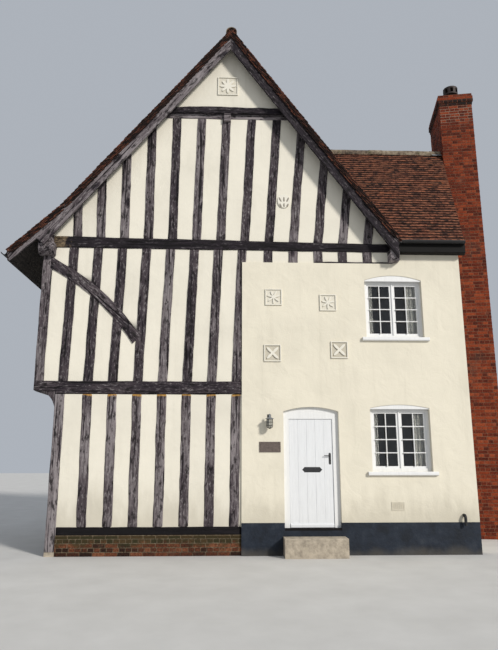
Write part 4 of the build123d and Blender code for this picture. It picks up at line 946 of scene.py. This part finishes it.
class HOUSE_OT_plaster(HousePiece, bpy.types.Operator):
    """Limewashed panels between the timbers, rendered walls and moulded squares"""
    bl_idname = "house.plaster"
    bl_label = "Plaster and render"

    @staticmethod
    def panels(node, name):
        """Plaster panels from a CAD node, tucked in behind the timbers' edges and trowelled unevenly."""
        panels = cad_copy(node)
        before = [v.co.copy() for v in panels.data.vertices]
        in_edit(panels, lambda: bpy.ops.transform.shrink_fatten(value=0.045))

        def keep_thickness(_, panel):
            depth = sum(abs(before[v.index].y) for v in panel) / len(panel)
            thin = 1 if depth > -FRONT - 0.2 else 0
            for vertex in panel:
                vertex.co[thin] = before[vertex.index][thin]
        for_each_part(panels, keep_thickness)
        low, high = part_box(node)
        sliced(panels, UP, low[2], high[2], 0.3)
        wandering(panels, name, 0.5, 0.010)
        each_its_own(panels, 61)
        finished(panels, name, "panel_plaster", stands_for=(node,), angle=8)

    @staticmethod
    def capping():
        """A thin oak strip on the top edge of the render."""
        left, right, height = CAPPING
        strip = block((right - left, 0.021, 0.034), ((left + right) / 2, FRONT - 0.0115, height))
        sliced(strip, SIDEWAYS, left, right, 0.09)
        eased(strip, 0.006)
        each_its_own(strip, 47)
        wandering(strip, "capping", 0.2, 0.03, "Z")
        finished(on_both_fronts(strip), "render_capping", "oak_beam", angle=35)

    @staticmethod
    def sprigs():
        """Two fans of three leaves on the gable's roundel."""
        leaves = []
        for rise, size in ((0.0, 0.125), (-0.115, 0.10)):
            for tilt in (-1, 0, 1):
                leaf = block((0.038, 0.022, size), (0, 0, size / 2))
                leaf = with_modifier(leaf, "SUBSURF", levels=2, render_levels=2)
                place = (ROUNDEL[0] + tilt * 0.052, ROUNDEL[1], ROUNDEL[2] + rise)
                leaf.data.transform(Matrix.Translation(place)
                                    @ Matrix.Rotation(math.radians(24 * tilt), 4, "Y"))
                leaves.append(leaf)
        finished(on_both_fronts(joined(leaves)), "gable_sprigs", "sprig_plaster", angle=60)

    def execute(self, context):
        self.panels("ground_infill", "ground_panels")
        self.panels("upper_infill", "upper_panels")
        self.panels("gable_infill", "gable_panels")
        self.capping()
        self.sprigs()
        paint_nodes("panel_plaster", "party_wall")
        paint_nodes("peak_plaster", "gable_peaks")
        paint_nodes("wall_render", "front_wall_left", "front_wall_over_door", "front_wall_right",
                    "back_wall")
        paint_nodes("moulded_plaster", "pargetting")
        return {"FINISHED"}


def mark_tail(tile):
    """Writes how near each corner of a tile is to its tail."""
    layer = tile.data.attributes.new("tail", "FLOAT", "POINT")
    places = [v.co.y for v in tile.data.vertices]
    low, high = min(places), max(places)
    for item, place in zip(layer.data, places):
        item.value = (high - place) / (high - low)


def tile_field(sizes, origin, across, up, width, length, seed):
    """A field of peg tiles laid in broken bond, from a little below the eave upwards."""
    wide, gauge, thick = sizes.tile_width, sizes.tile_gauge, sizes.tile_thickness
    joint, camber, overhang = 0.004, 0.003, 0.03
    tile = block((wide - joint, gauge + TILE_LAP, thick), (0, (gauge + TILE_LAP) / 2, 0))
    sliced(tile, SIDEWAYS, -wide / 2, wide / 2, wide / 3)
    for vertex in tile.data.vertices:
        if abs(vertex.co.x) < wide / 4:
            vertex.co.z += camber
    tilt = math.asin(thick * 1.15 / gauge)
    tile.data.transform(Matrix.Translation((0, 0, thick * 0.75)) @ Matrix.Rotation(-tilt, 4, "X"))
    mark_tail(tile)
    columns, rows = math.ceil(width / wide) + 2, math.ceil(length / gauge)
    pair = joined([tile, twin(tile, Matrix.Translation((wide / 2, gauge, 0)))])
    repeated(pair, columns, (wide, 0, 0))
    repeated(pair, math.ceil(rows / 2), (0, 2 * gauge, 0))
    each_its_own(pair, seed, (0.002, 0.004, 0.0015), (0.012, 0.012, 0.02))
    start = Vector(origin) - up * overhang - across * wide / 2
    return laid(pair, across, up, across.cross(up).normalized(), start)


def slope(pitch, towards):
    """Direction up a slope that rises towards a level direction."""
    angle = math.radians(pitch)
    return towards * math.cos(angle) + UP * math.sin(angle)


def valley_plane(side):
    """A point of the valley's upright plane and its normal away from the wing, front -1 or back 1."""
    (x_top, _), (x_foot, y_foot) = VALLEY
    along = Vector((x_foot - x_top, side * y_foot, 0)).normalized()
    return Vector((x_top, 0, 0)), Vector((along.y, -along.x, 0)) * side


class HOUSE_OT_tiles(HousePiece, bpy.types.Operator):
    """Peg tiles on every slope, cut at the verges and valleys"""
    bl_idname = "house.tiles"
    bl_label = "Peg tiles"

    def execute(self, context):
        edge = -FRONT + VERGE - VERGE_GAP
        over_ridge = 0.02
        foot_length = 1.40
        ends = ((Vector((0, edge, 0)), INWARDS), (Vector((0, -edge, 0)), -INWARDS))

        def run(rise, pitch):
            return rise / math.sin(math.radians(pitch))

        main = tile_field(self.sizes, (KNEE[0], edge, KNEE[1]), -INWARDS, slope(LEFT_PITCH, SIDEWAYS),
                          2 * edge, run(WING_RIDGE - KNEE[1], LEFT_PITCH), 11)
        trimmed(main, *ends, (Vector((-over_ridge, 0, 0)), SIDEWAYS))
        foot = tile_field(self.sizes, (LEFT_EAVE[0], edge, LEFT_EAVE[1]), -INWARDS,
                          slope(SPROCKET_PITCH, SIDEWAYS), 2 * edge, foot_length, 12)
        trimmed(foot, *ends)
        finished(joined([main, foot]), "tiles_wing_left", "wing_tiles")

        front = tile_field(self.sizes, (RIGHT_EAVE[0], -edge, RIGHT_EAVE[1]), INWARDS,
                           slope(RIGHT_PITCH, -SIDEWAYS), 2 * edge,
                           run(WING_RIDGE - RIGHT_EAVE[1], RIGHT_PITCH), 13)
        trimmed(front, *ends, (Vector((over_ridge, 0, 0)), -SIDEWAYS))
        back = twin(front)
        for half, side in ((front, -1), (back, 1)):
            trimmed(half, (Vector(), -side * INWARDS), valley_plane(side))
        finished(joined([front, back]), "tiles_wing_right", "wing_tiles")

        skew = math.radians(PARTY_SKEW)
        outward = Vector((math.cos(skew), -math.sin(skew), 0))
        party = Vector((PARTY_VERGE_X - VERGE_GAP, FRONT, 0)), outward
        reach = run(RANGE_RIDGE - RANGE_EAVE[1], RANGE_PITCH)
        left, right = 0.9, 6.2  # a little past the valley and the verge
        for side, start, name, seed in ((-1, left, "tiles_range_front", 14),
                                        (1, right, "tiles_range_back", 15)):
            field = tile_field(self.sizes, (start, side * RANGE_EAVE[0], RANGE_EAVE[1]), -side * SIDEWAYS,
                               slope(RANGE_PITCH, -side * INWARDS), right - left, reach, seed)
            point, normal = valley_plane(side)
            trimmed(field, (point, -normal), party, (Vector((0, side * over_ridge, 0)), -side * INWARDS))
            finished(field, name, "range_tiles")
        paint_nodes("roof_slab", "wing_roof_left", "wing_roof_right", "range_roof_front", "range_roof_back")
        return {"FINISHED"}


def ridge_line(start, end, height, seed):
    """A line of half-round ridge tiles, each lapped on the last and set a little uneven."""
    radius, length, sunk = 0.118, 0.31, 0.066
    tile = settle(added(bpy.ops.mesh.primitive_cylinder_add, vertices=20, radius=radius,
                        depth=length + 0.02, end_fill_type="NOTHING", rotation=(0, math.pi / 2, 0)))
    cut_away(tile, (0, 0, -0.045), -UP, False)
    with_modifier(tile, "SOLIDIFY", thickness=0.016, offset=-1)
    eased(tile, 0.003)
    start, end = Vector(start), Vector(end)
    along = (end - start).normalized()
    repeated(tile, math.ceil((end - start).length / length), (length, 0, 0))
    each_its_own(tile, seed, (0.002, 0.004, 0.005), (0.01, 0.02, 0.02))
    turn = Matrix.Rotation(math.atan2(along.y, along.x), 4, "Z")
    tile.data.transform(Matrix.Translation(start + UP * (height - sunk) + along * length / 2) @ turn)
    return trimmed(tile, (end, along), (start, -along))


class HOUSE_OT_ridges(HousePiece, bpy.types.Operator):
    """Mossy half-round ridge tiles on both roofs"""
    bl_idname = "house.ridges"
    bl_label = "Ridge tiles"

    def execute(self, context):
        edge = -FRONT + VERGE - 0.002
        wing = ridge_line((0, -edge, 0), (0, edge, 0), WING_RIDGE, 21)
        over = ridge_line((VALLEY[0][0] - 0.05, 0, 0), (STACK_CORNER[0] + 0.005, 0, 0), RANGE_RIDGE, 22)
        finished(joined([wing, over]), "ridge_line", "mossy_ridge",
                 stands_for=("ridge_tiles",), angle=40)
        return {"FINISHED"}


def brick_field(sizes, origin, across, width, height, seed, first=0):
    """Bricks in English bond over a flat wall, each standing a little out of its mortar.

    A field of less than two courses is one course, of stretchers if first is 0 and of headers if it is 1.
    """
    depth, proud = 0.03, 0.004
    course = sizes.brick_height + sizes.joint
    single = height < course * 1.5
    rows = []
    for row, length in enumerate((sizes.brick_length, sizes.brick_length / 2 - sizes.joint / 2)):
        if single and row != first:
            continue
        pitch = length + sizes.joint
        brick = eased(block((length, depth, sizes.brick_height),
                            (0, depth / 2 - proud, sizes.brick_height / 2)), 0.004)
        start = (-pitch * (0.25 if row else 0.5), 0, 0 if single else course * row)
        brick.data.transform(Matrix.Translation(start))
        rows.append(repeated(brick, math.ceil(width / pitch) + 2, (pitch, 0, 0)))
    field = joined(rows)
    if not single:
        repeated(field, math.ceil(height / course / 2), (0, 0, 2 * course))
    each_its_own(field, seed, (0.0015, 0.0015, 0.001), (0.004, 0.0, 0.006))
    laid(field, across, -across.cross(UP).normalized(), UP, origin)
    return trimmed(field, (origin, -across), (origin + across * width, across), (origin + UP * height, UP))


class HOUSE_OT_bricks(HousePiece, bpy.types.Operator):
    """Bricks of the chimney, its cap and the plinth"""
    bl_idname = "house.bricks"
    bl_label = "Brickwork"

    def ring(self, low, height, step, seed, left_from=0.0, first=0):
        """Four faces of the stack over one range of heights, stepped out; the left one may start higher."""
        skew = math.radians(STACK_SKEW)
        wide = Vector((math.cos(skew), -math.sin(skew), 0))
        deep = Vector((math.sin(skew), math.cos(skew), 0))
        across, length = STACK_SIZE[0] + 2 * step, STACK_SIZE[1] + 2 * step
        near = Vector((*STACK_CORNER, 0)) - wide * step - deep * step + UP * low
        far = near + wide * across + deep * length
        sides = ((near, wide, across, 0.0), (near + wide * across, deep, length, 0.0),
                 (far, -wide, across, 0.0), (near + deep * length, -deep, length, left_from))
        return [brick_field(self.sizes, start + UP * lift, along, width, height - lift, seed + i, first)
                for i, (start, along, width, lift) in enumerate(sides)]

    def execute(self, context):
        course = self.sizes.brick_height + self.sizes.joint
        body_height = STACK_TOP - len(CAP_STEPS) * course
        fields = self.ring(0.0, body_height, 0.0, 31, STACK_LEFT_FOOT)
        for i, step in enumerate(CAP_STEPS):
            fields += self.ring(body_height + i * course, course - 0.001, step, 51 + 4 * i, first=i % 2)
        breast = Vector((BREAST_X, STACK_CORNER[1], 0))
        fields.append(brick_field(self.sizes, breast, SIDEWAYS, BREAST_WIDTH, BREAST_TOP, 35))
        finished(kept_in_box(joined(fields)), "chimney_bricks", "stack_brick")

        low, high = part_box("brick_plinth")
        top = high[2] - 0.012
        (inset, front), (back, side) = PLINTH_FRONT, PLINTH_SIDE
        fields = [brick_field(self.sizes, Vector(start), along, width, top, seed)
                  for start, along, width, seed in (((low[0] + inset, low[1], 0), SIDEWAYS, front, 71),
                                                    ((high[0], high[1], 0), -SIDEWAYS, front, 72),
                                                    ((low[0], back, 0), -INWARDS, side, 73))]
        finished(kept_in_box(joined(fields)), "plinth_bricks", "plinth_brick")
        paint_nodes("stack_mortar", "chimney_stack")
        paint_nodes("plinth_mortar", "brick_plinth")
        return {"FINISHED"}


class HOUSE_OT_joinery(HousePiece, bpy.types.Operator):
    """Boards and ledges of the door, glazing bars and arched window heads"""
    bl_idname = "house.joinery"
    bl_label = "Door and windows"

    @staticmethod
    def door():
        """Boards on the leaf's front and three ledges on its back."""
        left, right, front, back, bottom, top = LEAF
        inset, boards, ledges = 0.022, 5, 3
        width = (right - left - 2 * inset) / boards
        low, high = bottom + 0.072, top - 0.024
        board = eased(block((width - 0.003, 0.006, high - low),
                            (left + inset + width / 2, front - 0.001, (low + high) / 2)), 0.0028)
        repeated(board, boards, (width, 0, 0))
        each_its_own(board, 81, (0, 0.0004, 0))
        finished(board, "door_boards", "door_paint", body="front_door")
        ledge = eased(block((right - left - 0.12, 0.022, 0.13),
                            ((left + right) / 2 + 0.02, back + 0.011, bottom + 0.25)), 0.008)
        repeated(ledge, ledges, (0, 0, 0.74))
        finished(ledge, "door_ledges", "door_paint", body="front_door")

    def bars(self):
        """One upright and three level bars in each casement."""
        bars, y, bar = [], -CASEMENT_Y + 0.02, self.sizes.bar_width
        light = (WINDOW_WIDTH - MULLION) / 2 - WINDOW_FRAME
        glass = light - 2 * CASEMENT
        for sill, height in WINDOW_ROWS:
            pane = height - 2 * WINDOW_FRAME - 2 * CASEMENT
            middle = sill + height / 2
            for side in (-1, 1):
                x = WINDOW_X + side * (MULLION + light) / 2
                bars.append(block((bar, 0.026, pane + 0.01), (x, y, middle)))
                level = block((glass + 0.01, 0.0255, bar), (x, y, middle - pane / 4))
                bars.append(repeated(level, 3, (0, 0, pane / 4)))
        bars = eased(joined(bars), 0.005)
        finished(on_both_fronts(bars), "glazing_bars", "joinery_paint")

    @staticmethod
    def heads():
        """The flat arch over each window's square frame."""
        heads, half = [], WINDOW_WIDTH / 2
        for (sill, height), rise in zip(WINDOW_ROWS, WINDOW_RISES):
            spring = sill + height
            head = block((WINDOW_WIDTH, 0.05, rise + 0.02),
                         (WINDOW_X, FRONT + 0.012, spring + rise / 2 - 0.01))
            sliced(head, SIDEWAYS, WINDOW_X - half, WINDOW_X + half, 0.05)
            radius = (half ** 2 + rise ** 2) / (2 * rise)
            for vertex in head.data.vertices:
                if vertex.co.z > spring:
                    fall = radius - math.sqrt(radius ** 2 - (vertex.co.x - WINDOW_X) ** 2)
                    vertex.co.z = spring + rise - fall
            heads.append(eased(head, 0.004))
        finished(on_both_fronts(joined(heads)), "window_heads", "joinery_paint")

    def execute(self, context):
        self.door()
        self.bars()
        self.heads()
        paint_nodes("door_paint", "door_leaf")
        paint_nodes("joinery_paint", "door_frame", "door_stops", "window_frames", "casements",
                    "window_sills")
        paint_nodes("old_glass", "window_glass")
        return {"FINISHED"}


def hung_curtain(name, left, right, top, bottom, y, seed):
    """A curtain gathered on its rail, in soft folds that flatten towards it; and its flat size."""
    chance = random.Random(seed)
    turns, fold, cloth, samples = 4 * 2 * math.pi, 0.0080, 0.0012, 400
    phase = chance.uniform(0, 6)
    sheet = added(bpy.ops.mesh.primitive_grid_add, x_subdivisions=60, y_subdivisions=18, size=1)
    for vertex in sheet.data.vertices:
        u, v = vertex.co.x + 0.5, vertex.co.y + 0.5
        wave = math.sin(u * turns + phase + 0.5 * math.sin(v * 3 + phase))
        vertex.co = (left + (right - left) * u, y + fold * wave * (0.75 + 0.25 * (1 - v)),
                     bottom + (top - bottom) * v)
    wide = sum(math.hypot(right - left, fold * 0.9 * turns * math.cos(i / samples * turns))
               for i in range(samples)) / samples
    with_modifier(sheet, "SOLIDIFY", thickness=cloth, offset=0)
    finished(sheet, name, "striped_cloth", angle=60)
    return sheet, (wide, top - bottom)


class HOUSE_OT_curtains(HousePiece, bpy.types.Operator):
    """Striped curtains on both sides of each window"""
    bl_idname = "house.curtains"
    bl_label = "Curtains"

    def execute(self, context):
        low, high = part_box("curtains")
        gap, seed = 0.002, 91
        for face, label in ((-1, "front"), (1, "back")):
            y = face * (high[1] - 0.013)
            for (sill, height), storey in zip(WINDOW_ROWS, ("lower", "upper")):
                top, bottom = sill + height - WINDOW_FRAME - 0.0005, sill + 0.02
                for side, width in CURTAIN_WIDTHS.items():
                    left = low[0] if side == "left" else high[0] - width
                    sheet, flat = hung_curtain(f"curtain_{label}_{storey}_{side}", left + gap,
                                               left + width - gap, top, bottom, y, seed)
                    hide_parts("curtains")
                    seed += 1
        return {"FINISHED"}


def turned(profile, x, y):
    """A turned piece: a disc drawn up ring by ring through radii and heights."""
    radius, height = profile[0]
    piece = settle(added(bpy.ops.mesh.primitive_circle_add, vertices=24, radius=radius,
                         location=(x, y, height), fill_type="NGON"))
    bpy.ops.object.mode_set(mode="EDIT")
    bpy.ops.mesh.select_all(action="SELECT")
    for next_radius, next_height in profile[1:]:
        bpy.ops.mesh.extrude_region_move(TRANSFORM_OT_translate={"value": (0, 0, next_height - height)})
        bpy.ops.transform.resize(value=(next_radius / radius, next_radius / radius, 1),
                                 center_override=(x, y, next_height))
        radius, height = next_radius, next_height
    bpy.ops.object.mode_set(mode="OBJECT")
    return in_edit(piece, lambda: bpy.ops.mesh.remove_doubles(threshold=0.0001),
                   lambda: bpy.ops.mesh.normals_make_consistent(inside=False))


class HOUSE_OT_fittings(HousePiece, bpy.types.Operator):
    """Lantern, lead, plates, gutters, cowl and vent pipe"""
    bl_idname = "house.fittings"
    bl_label = "Fittings"

    @staticmethod
    def lantern():
        """A glass jar under a brim, in a cage that hangs from an arm."""
        low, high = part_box("lantern")
        x, y, foot, top, wall = LANTERN_X, FRONT - RENDER_PROUD - LANTERN_OUT, low[2], high[2], high[1]
        jar = turned([(radius, foot + rise) for radius, rise in JAR], x, y)
        finished(jar, "lantern_jar", "lantern_panes", angle=50)
        brim = turned([(radius, foot + rise) for radius, rise in BRIM]
                      + [(radius, top - drop) for radius, drop in FINIAL], x, y)
        finished(brim, "lantern_brim", "dull_lead", angle=35)
        cage = []
        for i in range(CAGE_RIBS):
            rib = block((0.007, 0.007, CAGE_HEIGHT), (0, 0, foot + CAGE_HEIGHT / 2))
            sliced(rib, UP, foot, foot + CAGE_HEIGHT, 0.02)
            for vertex in rib.data.vertices:
                under = max(0.0, 1 - (vertex.co.z - foot) / 0.05)
                vertex.co.x += CAGE_RADIUS * math.sqrt(max(0.02, 1 - under ** 2))
            turn = (i + 0.5) * 2 * math.pi / CAGE_RIBS
            rib.data.transform(Matrix.Translation((x, y, 0)) @ Matrix.Rotation(turn, 4, "Z"))
            cage.append(rib)
        for rise, radius in CAGE_HOOPS:
            cage.append(settle(added(
                bpy.ops.mesh.primitive_torus_add, major_radius=radius, minor_radius=0.0045,
                major_segments=28, minor_segments=8, location=(x, y, foot + rise))))
        arm = block((0.012, -FRONT, 0.012), (x, 0, foot + 0.196))
        cage.append(trimmed(arm, ((0, y, 0), -INWARDS), ((0, wall - 0.001, 0), INWARDS)))
        cage.append(eased(block((0.07, 0.008, 0.17), (x, wall - 0.004, foot + 0.19)), 0.003))
        finished(joined(cage), "lantern_cage", "black_iron", stands_for=("lantern",), angle=50)

    @staticmethod
    def flashing():
        """Two sheets of lead between the range's ridge and the stack."""
        sheets, size = [], 0.24
        for side in (-1, 1):
            sheet = block((size, size, 0.006), (0, side * size / 2, 0))
            sliced(sheet, SIDEWAYS, -size / 2, size / 2, size / 4)
            sheet.data.transform(Matrix.Translation((FLASHING_X, 0, RANGE_RIDGE + 0.055))
                                 @ Matrix.Rotation(-side * math.radians(RANGE_PITCH - 4), 4, "X"))
            sheets.append(eased(sheet, 0.002))
        finished(joined(sheets), "stack_flashing", "dull_lead")

    def execute(self, context):
        self.lantern()
        self.flashing()
        paint_nodes("black_iron", "door_hinges", "door_plates", "door_lever")
        paint_nodes("bronze_plate", "name_plate")
        paint_nodes("gutter_plastic", "gutters", "vent_pipe")
        paint_nodes("eaves_paint", "eaves_boards")
        paint_nodes("sooty_metal", "chimney_cowl")
        paint_nodes("air_brick", "air_brick")
        return {"FINISHED"}


class HOUSE_OT_base(HousePiece, bpy.types.Operator):
    """Painted plinth, pad stones, step and ground floor"""
    bl_idname = "house.base"
    bl_label = "Plinths and step"

    def execute(self, context):
        paint_nodes("tarred_plinth", "painted_plinth")
        paint_nodes("worn_stone", "padstones", "door_step", "ground_floor")
        return {"FINISHED"}


class HOUSE_OT_stage(HousePiece, bpy.types.Operator):
    """Pale floor, soft light and the camera of the street view"""
    bl_idname = "house.stage"
    bl_label = "Stage"

    def execute(self, context):
        scene = context.scene
        camera = added(bpy.ops.object.camera_add, location=EYE, rotation=radians(EYE_TURN))
        camera.name = "street_view"
        camera.data.sensor_width, camera.data.lens = SENSOR, LENS_SHARE * SENSOR
        scene.camera = camera
        floor = added(bpy.ops.mesh.primitive_plane_add, size=90)
        floor.name = "pale_floor"
        floor.data.materials.append(FINISHES["pale_floor"])
        sun = added(bpy.ops.object.light_add, type="SUN", rotation=radians(SUN_TURN))
        sun.name = "soft_key"
        sun.data.energy, sun.data.angle = SUN_POWER, math.radians(SUN_WIDTH)
        sun.data.color = (1.0, 0.965, 0.91)
        scene.world = bpy.data.worlds.new("studio")
        scene.world.use_nodes = True
        background = scene.world.node_tree.nodes["Background"].inputs
        background["Color"].default_value = (0.80, 0.86, 0.95, 1)
        background["Strength"].default_value = 0.52
        scene.view_settings.view_transform = "Standard"
        return {"FINISHED"}


class HOUSE_PT_panel(bpy.types.Panel):
    """Lists the house's sizes, colours and pieces"""
    bl_idname = "HOUSE_PT_panel"
    bl_label = "Half timbered house"
    bl_space_type = "VIEW_3D"
    bl_region_type = "UI"
    bl_category = "House"

    def draw(self, context):
        for group in (context.scene.house_sizes, context.scene.house_colours):
            for name in group.__annotations__:
                self.layout.prop(group, name)
        for operator in OPERATORS:
            self.layout.operator(operator.bl_idname)


OPERATORS = (HOUSE_OT_stage, HOUSE_OT_base, HOUSE_OT_plaster, HOUSE_OT_timbers, HOUSE_OT_bargeboards,
             HOUSE_OT_tiles, HOUSE_OT_ridges, HOUSE_OT_bricks, HOUSE_OT_joinery, HOUSE_OT_curtains,
             HOUSE_OT_fittings)
CLASSES = (HouseSizes, HouseColours, *OPERATORS, HOUSE_PT_panel)


def register():
    for item in CLASSES:
        bpy.utils.register_class(item)
    bpy.types.Scene.house_sizes = bpy.props.PointerProperty(type=HouseSizes)
    bpy.types.Scene.house_colours = bpy.props.PointerProperty(type=HouseColours)


def unregister():
    del bpy.types.Scene.house_colours, bpy.types.Scene.house_sizes
    for item in reversed(CLASSES):
        bpy.utils.unregister_class(item)


def main():
    register()
    make_finishes(bpy.context.scene.house_colours)
    for operator in OPERATORS:
        getattr(bpy.ops.house, operator.bl_idname.split(".")[1])()
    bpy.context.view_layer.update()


if __name__ == "__main__":
    main()
